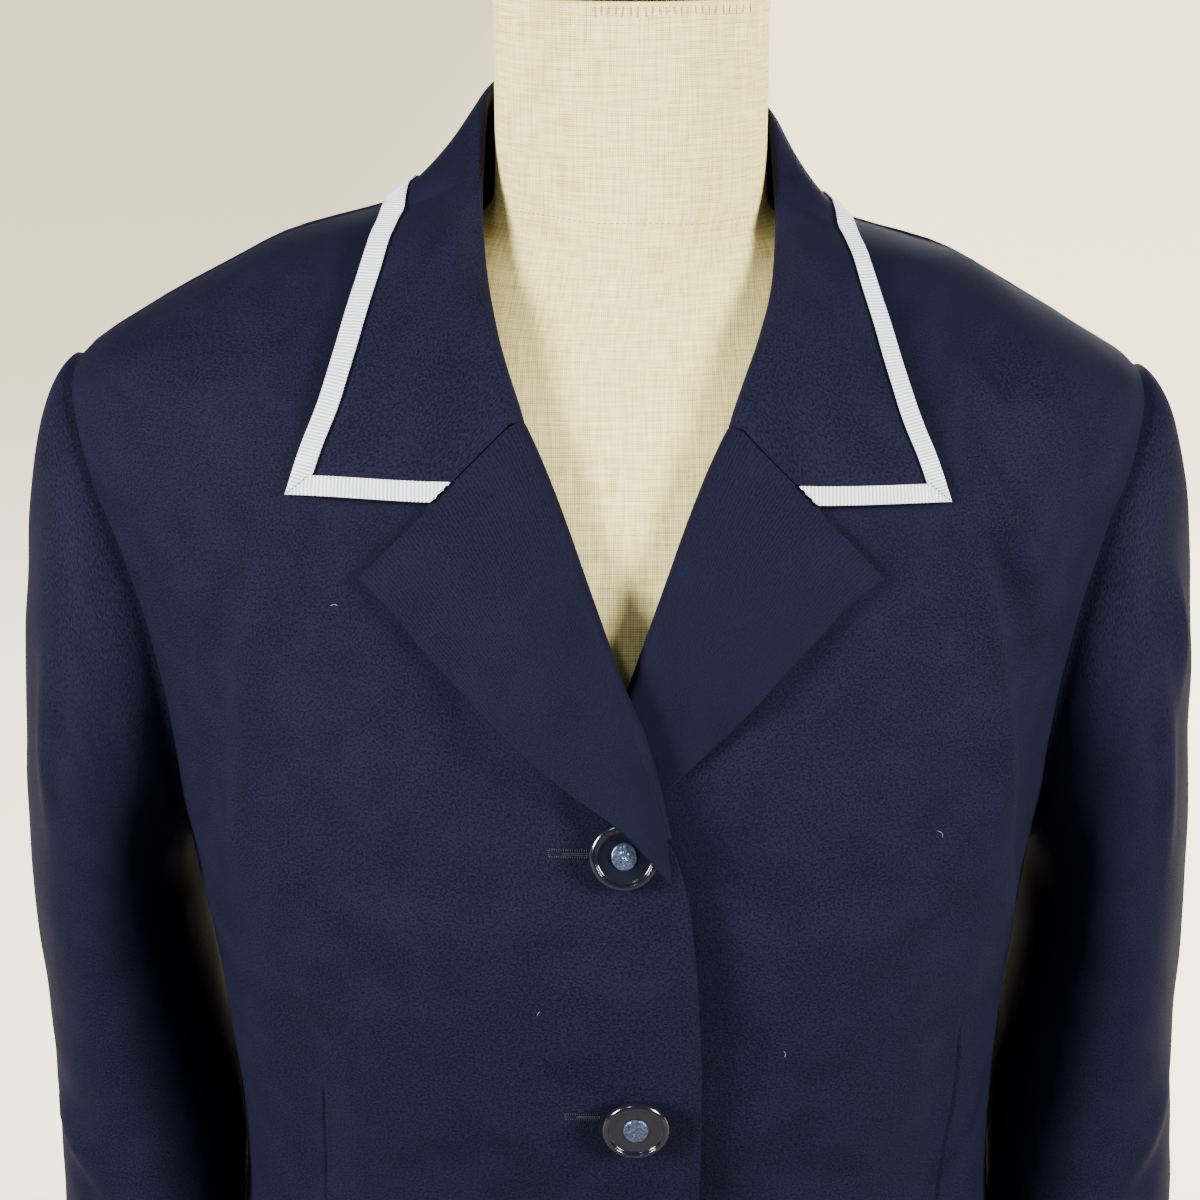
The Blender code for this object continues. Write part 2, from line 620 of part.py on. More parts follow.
def collar_side(point, side, share, across):
    """A point of the collar's half put on its side, where the collar lies."""
    roll_shift = mix(CENTRE_X, COLLAR_ROLL_SHIFT, smooth_step(0.10, 0.40, share))
    shift = mix(roll_shift, COLLAR_EDGE_SHIFT, across)
    tilt = COLLAR_TILT * smooth_step(0.0, 0.050, side * point.x) * smooth_step(0.35, 0.60, share)
    return settled(Vector((side * point.x + shift, point.y, point.z - tilt * (1.0 - across))))


def make_collar(name, surface, collection):
    sections = [collar_section(share) for share in COLLAR_STATIONS]
    last = len(sections) - 1
    shares_across = [0.0] * FOLD_POINTS + list(LEAF_SHARES)

    def place(station, number):
        half = station if station <= last else 2 * last - station
        side = 1 if station <= last else -1
        return collar_side(sections[half][number], side, COLLAR_STATIONS[half], shares_across[number])

    stations = list(range(2 * last + 1))
    numbers = list(range(FOLD_POINTS + len(LEAF_SHARES)))
    return sheet(name, stations, numbers, place, body_normal, surface, collection)


def lapel_roll(side, share):
    if side > 0:
        share = min(share, LEFT_ROLL_END)
    x = side * lapel("roll_x", share) + CENTRE_X
    z = lapel("roll_z", share)
    point = ring_point(1, "front", turn_at_x("front", x, z), z)
    return off_body(point, panel_lift(side, point))


def lapel_section(side, share, shares):
    step = 0.01
    end_share = LEFT_ROLL_END if side > 0 else 1.0
    high = min(share + step, end_share)
    low = min(max(share - step, 0.0), high - step)
    crest = lapel_roll(side, share)
    tangent = (lapel_roll(side, low) - lapel_roll(side, high)).normalized() * side
    outward = body_normal(crest)
    outward = (outward - tangent * outward.dot(tangent)).normalized()
    level = WALL + LAY_GAP
    back_length = 0.012
    if side < 0:
        back_length = mix(0.012, 0.0060, smooth_step(0.50, 0.66, share))
    towards = outward.cross(tangent).normalized()
    hidden_end = crest - towards * back_length - outward * (2.0 * WALL + LAY_GAP)
    points = fold_section(crest, tangent, outward, hidden_end, FOLD_RADIUS, -WALL / 2.0)
    start = points[-1]
    bow = LAPEL_BELLY[side] * math.sin(math.pi * share)
    edge_x = side * (lapel("edge_x", share) + bow * 0.7) + CENTRE_X
    edge_z = lapel("edge_z", share) - bow * 0.7
    end = ring_point(1, "front", turn_at_x("front", edge_x, edge_z), edge_z)
    bloom = lapel("bloom", share)
    if side > 0:
        bloom *= 1.0 - smooth_step(0.50, 0.74, share)
    for across in shares:
        point = mix(start, end, across)
        over = bloom * (1.0 - (1.0 - across) ** 2)
        height = level + panel_lift(side, point) + fold_rise(point) + over
        points.append(off_body(point, height))
    return points


def make_lapel(name, side, surface, collection):
    last = 1.0 if side < 0 else LEFT_LAPEL_END
    shares = (0.10, 0.25, NOTCH_SHARE + 0.14, 0.70, 0.85, 1.0)
    sections = [lapel_section(side, share, shares) for share in even(LAPEL_STATIONS, 0.004, last)]

    def place(station, number):
        return settled(sections[station][number])

    numbers = list(range(FOLD_POINTS + len(shares)))
    stations = list(range(len(sections)))
    return sheet(name, stations, numbers, place, body_normal, surface, collection)


def across_for_width(sections, share, width):
    """Across value on the collar's leaf this far inside its outer edge."""
    edge = on_leaf(sections, share, 1.0, 0.0)
    inner = on_leaf(sections, share, LEAF_SHARES[-2], 0.0)
    return mix(1.0, LEAF_SHARES[-2], width / (edge - inner).length)


def share_for_width(sections, across, width):
    """Share of the collar this far above its front edge."""
    low = on_leaf(sections, 0.0, across, 0.0)
    high = on_leaf(sections, COLLAR_STATIONS[1], across, 0.0)
    return COLLAR_STATIONS[1] * width / (high - low).length


def make_ribbon(name, surface, collection):
    sections = [collar_section(share) for share in COLLAR_STATIONS]
    cut = NOTCH_SHARE - 0.10
    pairs = [((0.0, NOTCH_SHARE), (share_for_width(sections, cut, RIBBON_WIDTH * 0.25), cut))]
    for across in (0.44,) + LEAF_SHARES[3:-1]:
        pairs.append(((0.0, across), (share_for_width(sections, across, RIBBON_WIDTH), across)))
    corner = (share_for_width(sections, 0.92, RIBBON_WIDTH),
              across_for_width(sections, 0.0, RIBBON_WIDTH))
    pairs.append(((0.0, 1.0), corner))
    for share in COLLAR_STATIONS[2:]:
        pairs.append(((share, 1.0), (share, across_for_width(sections, share, RIBBON_WIDTH))))
    last = len(pairs) - 1

    def place(station, number):
        spot = pairs[station if station <= last else 2 * last - station][number]
        point = on_leaf(sections, *spot, RIBBON_WALL + RIBBON_GAP)
        return collar_side(point, 1 if station <= last else -1, *spot)

    return sheet(name, list(range(2 * last + 1)), [0, 1], place, body_normal, surface, collection,
                 RIBBON_WALL)


def make_form(name, surface, collection):
    heights = [row[0] for row in FORM_ROWS]
    fine = []
    for upper, lower in zip(heights, heights[1:]):
        pieces = 2 if upper - lower > 0.045 else 1
        fine += [mix(upper, lower, i / pieces) for i in range(pieces)]
    fine.append(heights[-1])
    mesh_data = bmesh.new()
    bmesh.ops.create_grid(mesh_data, x_segments=FORM_SEGMENTS, y_segments=len(fine) - 1, size=1.0)
    for vertex in mesh_data.verts:
        turn = math.pi * (vertex.co.x + 1.0)
        height = fine[round((vertex.co.y + 1.0) / 2.0 * (len(fine) - 1))]
        power = form("power", height)
        across = math.copysign(abs(math.sin(turn)) ** (2.0 / power), math.sin(turn))
        along = math.copysign(abs(math.cos(turn)) ** (2.0 / power), math.cos(turn))
        depth = form("front", height) if along > 0.0 else form("back", height)
        vertex.co = Vector((form("middle_x", height) + form("half_width", height) * across,
                            -depth * along, height))
    bmesh.ops.remove_doubles(mesh_data, verts=mesh_data.verts, dist=0.00001)
    bmesh.ops.holes_fill(mesh_data, edges=mesh_data.edges, sides=0)
    bmesh.ops.recalc_face_normals(mesh_data, faces=mesh_data.faces)
    mesh = bpy.data.meshes.new(name)
    mesh_data.to_mesh(mesh)
    mesh_data.free()
    return add_object(name, mesh, surface, collection)


def make_neck_cap(name, surface, collection):
    top = FORM_ROWS[0][0] + SEAM_GAP
    radius = FORM_ROWS[0][2] + 0.0015
    profile = [(0.0, top + NECK_CAP_HEIGHT), (radius * 0.6, top + NECK_CAP_HEIGHT * 0.93),
               (radius * 0.90, top + NECK_CAP_HEIGHT * 0.70), (radius, top + NECK_CAP_HEIGHT * 0.35),
               (radius, top), (0.0, top)]
    cap = turned_solid(name, profile, 32, surface, collection)
    cap.location.x = FORM_ROWS[0][1]
    return cap


def make_pole(name, surface, collection):
    low = BASE_THICKNESS + POLE_SOCKET_GAP - TIP_HEIGHT
    high = FORM_ROWS[-1][0] - POLE_SOCKET_GAP
    collar_high = high - 0.022
    profile = [(0.0, high), (POLE_RADIUS * 2.0, high), (POLE_RADIUS * 2.0, collar_high),
               (POLE_RADIUS, collar_high), (POLE_RADIUS, low + 0.014), (POLE_RADIUS * 1.9, low + 0.006),
               (POLE_RADIUS * 1.9, low), (0.0, low)]
    return turned_solid(name, profile, 20, surface, collection)


def make_base(name, surface, collection):
    low = -TIP_HEIGHT
    top = low + BASE_THICKNESS
    profile = [(0.0, top), (BASE_RADIUS * 0.90, top), (BASE_RADIUS * 0.975, top - 0.0025),
               (BASE_RADIUS, top - 0.007), (BASE_RADIUS, low), (0.0, low)]
    return turned_solid(name, profile, 40, surface, collection)


def button_seat(number):
    """Middle of a button's back and the direction that its face looks in."""
    spot = ring_point(1, "front", turn_at_x("front", BUTTON_X[number], BUTTON_HEIGHTS[number]),
                      BUTTON_HEIGHTS[number])
    outward = body_normal(spot)
    level = right_front_lift(spot) + BUTTON_STAND_OFF
    return off_body(spot, level), outward


def make_button(name, number, surface, collection):
    thick = BUTTON_THICKNESS
    radius = BUTTON_RADIUS
    profile = [(0.0, thick * 0.62), (radius * 0.72, thick * 0.62), (radius * 0.80, thick * 0.80),
               (radius * 0.87, thick), (radius * 0.94, thick * 0.95), (radius, thick * 0.55),
               (radius * 0.93, thick * 0.12), (radius * 0.80, 0.0), (SHANK_RADIUS, 0.0),
               (SHANK_RADIUS, SHANK_CLEAR - BUTTON_STAND_OFF), (0.0, SHANK_CLEAR - BUTTON_STAND_OFF)]
    result = turned_solid(name, profile, 20, surface, collection)
    seat, outward = button_seat(number)
    turn = Vector((0.0, 0.0, 1.0)).rotation_difference(outward)
    result.matrix_world = Matrix.Translation(seat + Vector((0, 0, TIP_HEIGHT))) @ turn.to_matrix().to_4x4()
    return result


def make_inset(name, number, surface, collection):
    mesh_data = bmesh.new()
    bmesh.ops.create_uvsphere(mesh_data, u_segments=14, v_segments=6, radius=1.0)
    for vertex in mesh_data.verts:
        flat = max(vertex.co.z, 0.0)
        vertex.co = Vector((vertex.co.x * INSET_HALF_WIDTH, vertex.co.y * INSET_HALF_HEIGHT,
                            flat * INSET_RISE))
    bmesh.ops.remove_doubles(mesh_data, verts=mesh_data.verts, dist=0.00001)
    bmesh.ops.delete(mesh_data, geom=[f for f in mesh_data.faces if f.calc_center_median().z <= 0.0],
                     context="FACES")
    bmesh.ops.holes_fill(mesh_data, edges=mesh_data.edges, sides=0)
    bmesh.ops.recalc_face_normals(mesh_data, faces=mesh_data.faces)
    mesh = bpy.data.meshes.new(name)
    mesh_data.to_mesh(mesh)
    mesh_data.free()
    result = add_object(name, mesh, surface, collection)
    seat, outward = button_seat(number)
    seat = seat + outward * (BUTTON_THICKNESS * 0.62 + 0.0002)
    turn = Vector((0.0, 0.0, 1.0)).rotation_difference(outward)
    result.matrix_world = Matrix.Translation(seat + Vector((0, 0, TIP_HEIGHT))) @ turn.to_matrix().to_4x4()
    return result


NAVY = ((0.0160, 0.0175, 0.0560), 0.85)
LINEN = ((0.72, 0.66, 0.48), 0.90)
RIBBON = ((0.80, 0.80, 0.80), 0.70)
DARK_WOOD = ((0.045, 0.030, 0.022), 0.45)
STEEL = ((0.55, 0.55, 0.56), 0.30, 1.0)
BLACK_ENAMEL = ((0.020, 0.020, 0.022), 0.40)
BUTTON_NAVY = ((0.008, 0.009, 0.020), 0.12)
SILVER_BLUE = ((0.42, 0.50, 0.62), 0.35, 0.6)


def main():
    for leftover in list(bpy.data.objects):
        bpy.data.objects.remove(leftover)
    collection = bpy.data.collections.new("blazer on dress form")
    bpy.context.scene.collection.children.link(collection)

    make_base("stand_base", BLACK_ENAMEL, collection)
    make_pole("stand_pole", STEEL, collection)
    make_form("form_body", LINEN, collection)
    make_neck_cap("neck_cap", DARK_WOOD, collection)
    for side, word in ((-1, "right"), (1, "left")):
        make_front("front_" + word, side, NAVY, collection)
        make_back("back_" + word, side, NAVY, collection)
        make_sleeve("sleeve_top_" + word, side, False, NAVY, collection)
        make_sleeve("sleeve_under_" + word, side, True, NAVY, collection)
        make_lapel("lapel_" + word, side, NAVY, collection)
    make_collar("collar", NAVY, collection)
    make_ribbon("collar_ribbon", RIBBON, collection)
    for number in range(len(BUTTON_HEIGHTS)):
        make_button("button_%d" % (number + 1), number, BUTTON_NAVY, collection)
        make_inset("button_inset_%d" % (number + 1), number, SILVER_BLUE, collection)
    bpy.context.view_layer.update()


main()
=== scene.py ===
"""The looks of a blazer on a dress form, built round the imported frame.

Metres, except in the tables, which are in millimetres; +Z up, the front faces -Y; right and left are
the wearer's.  The tables follow the part's source, and the collar, the lapels' tips, the sleeves'
inner sides and the base of the neck are fitted closer to the photo.  They give heights from the level
of the shoulder tips, and every piece is raised by TIP_HEIGHT at the end.  Points are numpy arrays
whose last axis is x, y, z.
"""
import math

import bpy
import numpy as np
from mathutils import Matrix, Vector


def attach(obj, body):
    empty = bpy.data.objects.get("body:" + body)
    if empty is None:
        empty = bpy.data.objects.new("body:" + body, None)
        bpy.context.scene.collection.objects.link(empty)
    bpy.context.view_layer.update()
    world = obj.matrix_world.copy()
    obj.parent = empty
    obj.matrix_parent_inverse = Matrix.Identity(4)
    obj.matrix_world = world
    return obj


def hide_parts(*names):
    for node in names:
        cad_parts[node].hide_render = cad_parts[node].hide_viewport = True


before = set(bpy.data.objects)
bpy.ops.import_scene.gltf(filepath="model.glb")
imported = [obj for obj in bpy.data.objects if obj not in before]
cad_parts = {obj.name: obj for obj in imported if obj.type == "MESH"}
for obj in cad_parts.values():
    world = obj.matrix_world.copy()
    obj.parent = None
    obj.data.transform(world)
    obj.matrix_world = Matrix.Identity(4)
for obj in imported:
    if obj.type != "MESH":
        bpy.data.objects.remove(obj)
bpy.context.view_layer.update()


def metres(rows, plain=()):
    """A table that is given in millimetres, with its words and plain columns left as they are."""
    return tuple(tuple(value if column in plain or isinstance(value, str) else value / 1000.0
                       for column, value in enumerate(row)) for row in rows)


TIP_HEIGHT = 0.755
WALL = 0.0016
CLOTH_THICKNESS = 0.0020    # of the looks, which have rounded edges
RIM_RADIUS = 0.00045
RIM_ANGLES = (30, 60, 90)
GRADIENT_STEP = 0.0004
# How many rows each grid has, by the stretches that they are spread over, and how many columns.
FRONT_GRID = (16, 70, 66)
FRONT_COLUMNS = 96
BACK_GRID = (16, 60, 60)
BACK_COLUMNS = 70
SLEEVE_HEAD_ROWS = 46
SLEEVE_ROWS_BELOW = 64
SLEEVE_STEP_COLUMNS = 6     # for each step of the armhole
COLLAR_STATIONS = (70, 44)
LAPEL_STATIONS = 90
LEAF_COLUMNS = 40
FOLD_TURNS = 13
SEAM_GAP = 0.0004
LAY_GAP = 0.0012
HEM = -0.570
SHOULDER_TIP = 0.006
UNDERARM = -0.200
ARMHOLE_MIDDLE = (SHOULDER_TIP + UNDERARM) / 2.0
ARMHOLE_HALF = SHOULDER_TIP - ARMHOLE_MIDDLE
SHOULDER_HEIGHTS = (0.0690, 0.0645, 0.0590, 0.0520, 0.0430, 0.0305, 0.0170, SHOULDER_TIP)
SIDES = ((-1, "right"), (1, "left"))
CENTRE_X = 0.0015
FRONT_POWER = 2.35
BACK_POWER = 2.5

BODY_COLUMNS = ("height", "half_width", "front", "back", "side_y")
BODY_ROWS = metres((
    (88, 24, 10, 33, 0),
    (81, 44, 22, 50, 0),
    (73, 62, 34, 59, 0),
    (63, 91.7, 46, 67, 0),
    (52, 130, 57, 75, -2),
    (42, 149.3, 65, 82.5, -4),
    (24, 181.2, 81, 89.5, -8),
    (6, 207.2, 96, 96, -11),
    (-8, 212.5, 103.6, 100, -11),
    (-25, 213.5, 112, 104, -11),
    (-50, 208.5, 122, 109, -10),
    (-100, 194.5, 137, 115, -6),
    (-150, 181, 150, 115, -2),
    (-200, 172, 155, 110, 0),
    (-250, 166, 150, 100, 0),
    (-330, 162, 135, 88, 0),
    (-450, 174, 138, 102, 0),
    (-570, 182, 145, 118, 0),
))
FRONT_EDGE_COLUMNS = ("height", "reach")
FRONT_EDGE_ROWS = metres((
    (73, 69), (55, 66.5), (42, 62.5), (30, 56), (0, 41.2), (-18, 33),
    (-36, 25.5), (-53.9, 18.6), (-72.5, 11.6), (-89.6, 5), (-103.5, -1.2), (-120, -6.5),
    (-138.5, -11.5), (-142, -14.5), (-145, -16.6), (-152, -18.9), (-164.4, -21.8), (-201.7, -25.4),
    (-241.5, -27.2), (-290, -27.5), (-570, -27.5),
))
COLLAR_COLUMNS = ("share", "roll_x", "roll_y", "roll_z", "edge_x", "edge_y", "edge_z",
                  "seam_x", "seam_y", "seam_z")
COLLAR_ROWS = metres((
    (0.00, 36.5, -98.5, -0.3, 119, -90, -30.5, 45, -90, -3),
    (0.12, 42, -89, 14, 114, -83, -14, 50, -82, 10),
    (0.25, 48.5, -74, 31, 107, -76, 5, 57, -68, 26),
    (0.40, 54.5, -50, 50, 98.5, -66, 34, 62, -47, 43),
    (0.55, 57.2, -23, 77, 91.5, -40, 58.8, 62, -27, 59),
    (0.66, 57.2, 2, 100, 87.6, -13, 66.8, 63.5, -1, 71.4),
    (0.78, 51, 34.5, 109, 80, 37, 66.8, 54.5, 38, 71.4),
    (0.90, 31, 60, 114, 54, 77, 48, 32, 56, 71.4),
    (1.00, 0, 69, 115.5, 0, 94, 46, 0, 60.5, 71.4),
), plain=(0,))
NOTCH_SHARE = 0.36
GORGE_CLOSE = 0.0010        # how far the collar's end is drawn down to the lapel
GORGE_SEAM = 0.00030        # what stays open between them
GORGE_REACH = (0.0024, 0.0036)
GORGE_BLEND = np.array((1.0, 0.75, 0.40, 0.15))
LEAF_BOW = 0.0008
# Ranges of share over which the collar leaves the front, falls as it does at the back, takes up its
# own gap and rolls free.
LAID_SHARES = (0.36, 0.60)
BACK_SHARES = (0.50, 0.66)
GAP_SHARES = (0.10, 0.35)
ROLL_SHARES = (0.20, 0.50)
NOTCH_END = 0.30
FOLD_SMOOTHINGS = 30
NOTCH_DROP = 0.0178
LAPEL_COLUMNS = ("share", "roll_x", "roll_z", "edge_x", "edge_z", "bloom")
LAPEL_ROWS = metres((
    (0.00, 36, -1.2, 93.7, -54.2, 0.4),
    (0.15, 27.5, -19, 80, -64.5, 1.2),
    (0.30, 20.5, -36, 67.5, -76.5, 2),
    (0.45, 13.8, -53.9, 55, -88.5, 3),
    (0.60, 6.8, -72.5, 42, -101.5, 4.2),
    (0.72, 0.3, -89.6, 29.5, -113, 5.4),
    (0.82, -6, -103.5, 16.5, -123.5, 6.6),
    (0.91, -11, -120, 0.5, -135.5, 7.6),
    (1.00, -15.7, -140, -15, -153, 7.8),
), plain=(0,))
LAPEL_SHIFT = 0.0020
LAPEL_BELLY = {-1: 0.0045, 1: -0.0015}
LEFT_LAPEL_END = 0.90
LEFT_ROLL_END = 0.77
FOLD_RADIUS = 1.5 * WALL + LAY_GAP
COLLAR_ROLL_RADIUS = 0.0026
COLLAR_GAP = 0.0014
COLLAR_FALL = (0.44, 0.58)
BACK_FALL = (0.50, 0.70)
# How the even jacket is moved to hang as it does, and the ranges over which each move sets in.
LEFT_DROP = 0.0060
LEFT_DROP_X = (-0.020, 0.100)
LEFT_DROP_HEIGHTS = (-0.050, 0.030)
SHOULDER_SHIFT = 0.0045
SHOULDER_SHIFT_X = (0.100, 0.200)
SHOULDER_SHIFT_HEIGHTS = (-0.400, -0.180)
BACK_DROP = 0.0060
BACK_DROP_Y = (0.002, 0.032)
BACK_DROP_HEIGHTS = (0.015, 0.045, 0.070, 0.095)
COLLAR_ROLL_SHIFT = 0.0030
COLLAR_EDGE_SHIFT = -0.0010
COLLAR_TILT = 0.0030
CORNER_LIFT = {-1: 0.0032, 1: 0.0016}
# The right front's lift: where the lapels cross and further down, and how it sets in.
CROSS_LIFT = 0.0088
OVERLAP_LIFT = 0.0034
CROSS_HEIGHTS = (-0.420, -0.150)
OVERLAP_X = (-0.060, -0.020)
OVERLAP_TOP = -0.040
OVERLAP_FADE = 0.045
SLEEVE_COLUMNS = ("height", "inner", "outer", "middle_y", "half_depth")
SLEEVE_ROWS = metres((
    (-215, 175.5, 237.5, -6, 74),
    (-260, 172, 238.5, -6, 70),
    (-330, 164, 241, -8, 64),
    (-400, 168, 244, -14, 60.5),
    (-480, 181.5, 247.5, -23, 57),
    (-585, 189.5, 253, -36, 54),
))
SLEEVE_POWER = 2.2
ARMHOLE_STEPS = 11
STEP_ANGLE = math.pi / ARMHOLE_STEPS
FRONT_SEAM_STEP = 8.5
BACK_SEAM_STEP = 6.5
SLEEVE_SEAM_GAP = 0.006
SEAM_CLEAR = 0.0008         # a sleeve's distance from the body at its seam, and further down
SLEEVE_CLEAR = 0.0012
SLEEVE_RADIUS = 0.062
FRONT_SEED = 3              # of the cloth's unevenness, with the side added
BACK_SEED = 7
SLEEVE_SEED = 11
SEAM_TUCK = ((-0.0050, -0.0026), (-0.0014, -0.0026), (0.0004, -0.0012))   # outward reach and level
ARMHOLE_FRONT = 0.071
ARMHOLE_BACK = 0.062
FORM_COLUMNS = ("height", "middle_x", "half_width", "front", "back", "power")
FORM_ROWS = metres((
    (142, 4, 52.8, 51, 51, 2.0),
    (110, 4, 52.7, 51.5, 51, 2.0),
    (80, 4, 52.7, 52, 51.5, 2.0),
    (66, 4, 53.5, 53.5, 53, 1.9),
    (58, 3, 59, 55, 56, 1.6),
    (50, 3, 77, 57, 60, 1.35),
    (42, 2, 99, 59, 64, 1.25),
    (30, 1, 126, 64, 70, 1.30),
    (18, 0, 147, 72, 75, 1.50),
    (4, 0, 161, 82, 81, 2.0),
    (-12, 0, 168, 92, 87, 2.2),
    (-35, 0, 172, 105, 93, 2.3),
    (-70, 0, 170, 117, 99, 2.3),
    (-120, 0, 163, 131, 102, 2.3),
    (-160, 0, 158, 140, 100, 2.3),
    (-200, 0, 155, 143, 96, 2.3),
    (-250, 0, 150, 138, 87, 2.3),
    (-330, 0, 147, 123, 75, 2.3),
    (-450, 0, 159, 125, 88, 2.3),
    (-540, 0, 166, 130, 102, 2.3),
    (-620, 0, 164, 126, 103, 2.3),
), plain=(5,))
NECK_CAP_HEIGHT = 0.016
CAP_OVERHANG = 0.0015
STAND_GAP = 0.0004          # between the cap, the form, the pole and the base
CAP_PROFILE = ((0.0, 1.0), (0.6, 0.93), (0.90, 0.70), (1.0, 0.35), (1.0, 0.0), (0.0, 0.0))
POLE_RADIUS = 0.014
POLE_TOP = ((0.0, 0.0), (2.0, 0.0), (2.0, 0.022), (1.0, 0.022))
POLE_FOOT = ((1.0, 0.014), (1.9, 0.006), (1.9, 0.0), (0.0, 0.0))
BASE_RADIUS = 0.150
BASE_THICKNESS = 0.014
BASE_PROFILE = ((0.0, 0.0), (0.90, 0.0), (0.975, 0.0025), (1.0, 0.007), (1.0, BASE_THICKNESS),
                (0.0, BASE_THICKNESS))
RIBBON_WIDTH = 0.0075
RIBBON_WALL = 0.0007
RIBBON_GAP = 0.0006
RIBBON_LAYERS = 9
RIB_PITCH = 0.00135
RIB_RISE = 0.00015
RIB_SLANT = 0.025           # length over which the ribs turn from the mitre to square
BUTTON_RADIUS = 0.0125
BUTTON_THICKNESS = 0.0040
BUTTON_STAND_OFF = 0.0028
BUTTON_PROFILE = (          # shares of the radius and of the thickness
    (0.0, 0.60), (0.40, 0.60), (0.72, 0.64), (0.79, 0.70), (0.81, 0.94), (0.84, 1.0), (0.90, 0.98),
    (0.97, 0.82), (1.0, 0.52), (0.985, 0.30), (0.92, 0.10), (0.80, 0.0),
)
SHANK_RADIUS = 0.0032
BUTTON_X = (0.0005, 0.0050, 0.0060)
BUTTON_HEIGHTS = (-0.1445, -0.2500, -0.3550)
INSET_HALF_WIDTH = 0.0046
INSET_HALF_HEIGHT = 0.0050
PEBBLES = 70
PEBBLE_RADIUS = 0.00065
HOLE_ENDS = ((-0.0253, -0.0122), (-0.0200, -0.0080), (-0.0190, -0.0070))
HOLE_HEIGHTS = (-0.1450, -0.2480, -0.3530)
HOLE_HALF = 0.0011
HOLE_PITCH = 0.0008
HOLE_STITCH = 0.0011
THREAD_RADIUS = 0.00016
THREAD_RISE = 0.00014
LIP_RADIUS = 0.00026
LINT_RADIUS = 0.00005
NECK_SEAM_HEIGHT = 0.0630
WHIP_HEIGHTS = (0.1402, 0.1372)
# Fibres of lint: side, x, height and length.
LINT = ((1, 0.118, -0.152, 0.004), (1, 0.060, -0.230, 0.003), (-1, -0.060, 0.010, 0.003),
        (-1, -0.030, -0.205, 0.002), (1, 0.085, 0.018, 0.003), (-1, -0.105, -0.065, 0.003))

# Soft folds of the body along straight lines: face, x and height of both ends, width and rise,
# which is below 0 for a trough.
FOLDS = metres((
    ("front", -132, -100, -128, -235, 13, 3),
    ("front", 134, -85, 141, -235, 12, 3),
    ("front", 150, -10, 160, -75, 10, 2.2),
    ("front", -112, -215, -120, -300, 13, -2.2),
    ("front", 127, -235, 124, -420, 12, -2.6),
    ("front", -127, -245, -124, -420, 12, -2.6),
    ("front", 95, -440, 100, -580, 30, 4),
    ("front", -98, -450, -105, -580, 30, 4),
    ("back", -120, -60, -135, -210, 18, 3.5),
    ("back", 118, -60, 132, -210, 18, 3.5),
    ("back", -70, -300, -85, -560, 26, 3.6),
    ("back", 74, -300, 88, -560, 26, 3.6),
))
# Narrower creases that only the looks have; the last value narrows the side that is farther from
# the middle of the jacket, where the cloth turns under.
CREASES = metres((
    ("front", 128, 22, 141, 0, 5, 1.3, 0.6),
    ("front", 158, 24, 170, -34, 5.5, 1.2, 0.6),
    ("front", 130, -10, 156, -64, 6, 1.6, 0.5),
    ("front", 128, -36, 142, -100, 6.5, 2, 0.45),
    ("front", 141, -96, 146, -160, 7, 2.4, 0.40),
    ("front", 144, -150, 153, -215, 8, 2, 0.45),
    ("front", 118, 4, 124, -60, 10, 0.8, 1.0),
    ("front", -134, -45, -136, -128, 7.5, 1.8, 0.7),
    ("front", -137, -120, -146, -196, 8, 1.8, 0.6),
    ("front", -158, -4, -166, -60, 6, 1, 0.7),
    ("front", -112, 10, -120, -60, 11, 0.8, 1.0),
    ("front", -128, -196, -125, -262, 7, -1.4, 1.0),
    ("front", 60, -190, 98, -176, 11, 0.8, 1.0),
    ("front", -56, -186, -100, -174, 11, 0.7, 1.0),
    ("front", 45, -300, 100, -330, 14, 0.9, 1.0),
    ("front", -40, -310, -98, -335, 14, 0.9, 1.0),
    ("back", -146, -20, -152, -130, 8, 1.7, 0.6),
    ("back", 144, -28, 153, -140, 8, 1.5, 0.6),
    ("back", -30, -245, -100, -262, 9, 1.5, 1.0),
    ("back", 24, -262, 92, -250, 9, 1.4, 1.0),
    ("back", -40, -285, -106, -292, 10, 1, 1.0),
    ("back", -40, 30, -118, 4, 10, 0.9, 1.0),
    ("back", 46, 30, 110, 2, 10, 0.8, 1.0),
), plain=(7,))
# Creases of each sleeve: in place of x they have the distance round the sleeve from its outermost
# line, forward being positive.
SLEEVE_FOLDS = {
    -1: metres((
        (40, -300, 75, -330, 9, 1.4),
        (50, -330, 86, -352, 8, -1.2),
        (-50, -290, -80, -325, 10, 1.6),
        (62, -85, 66, -170, 7, 1.2),
        (-62, -90, -68, -180, 8, 1.4),
        (20, -120, 28, -260, 16, 1),
        (10, -420, 30, -520, 14, 1.2),
        (-30, -460, -22, -560, 15, -1),
    )),
    1: metres((
        (52, -70, 56, -118, 5, 1.4),
        (44, -290, 78, -322, 9, 1.3),
        (48, -325, 88, -346, 8, -1.2),
        (-46, -300, -82, -318, 10, 1.5),
        (66, -100, 70, -185, 7, 1.2),
        (-60, -100, -66, -190, 8, 1.3),
        (24, -140, 20, -270, 16, 1),
        (18, -430, 4, -530, 14, 1.2),
        (-26, -440, -34, -540, 15, -1),
    )),
}
FOLD_DEPTH = 1.35
CREASE_DEPTH = 2.5
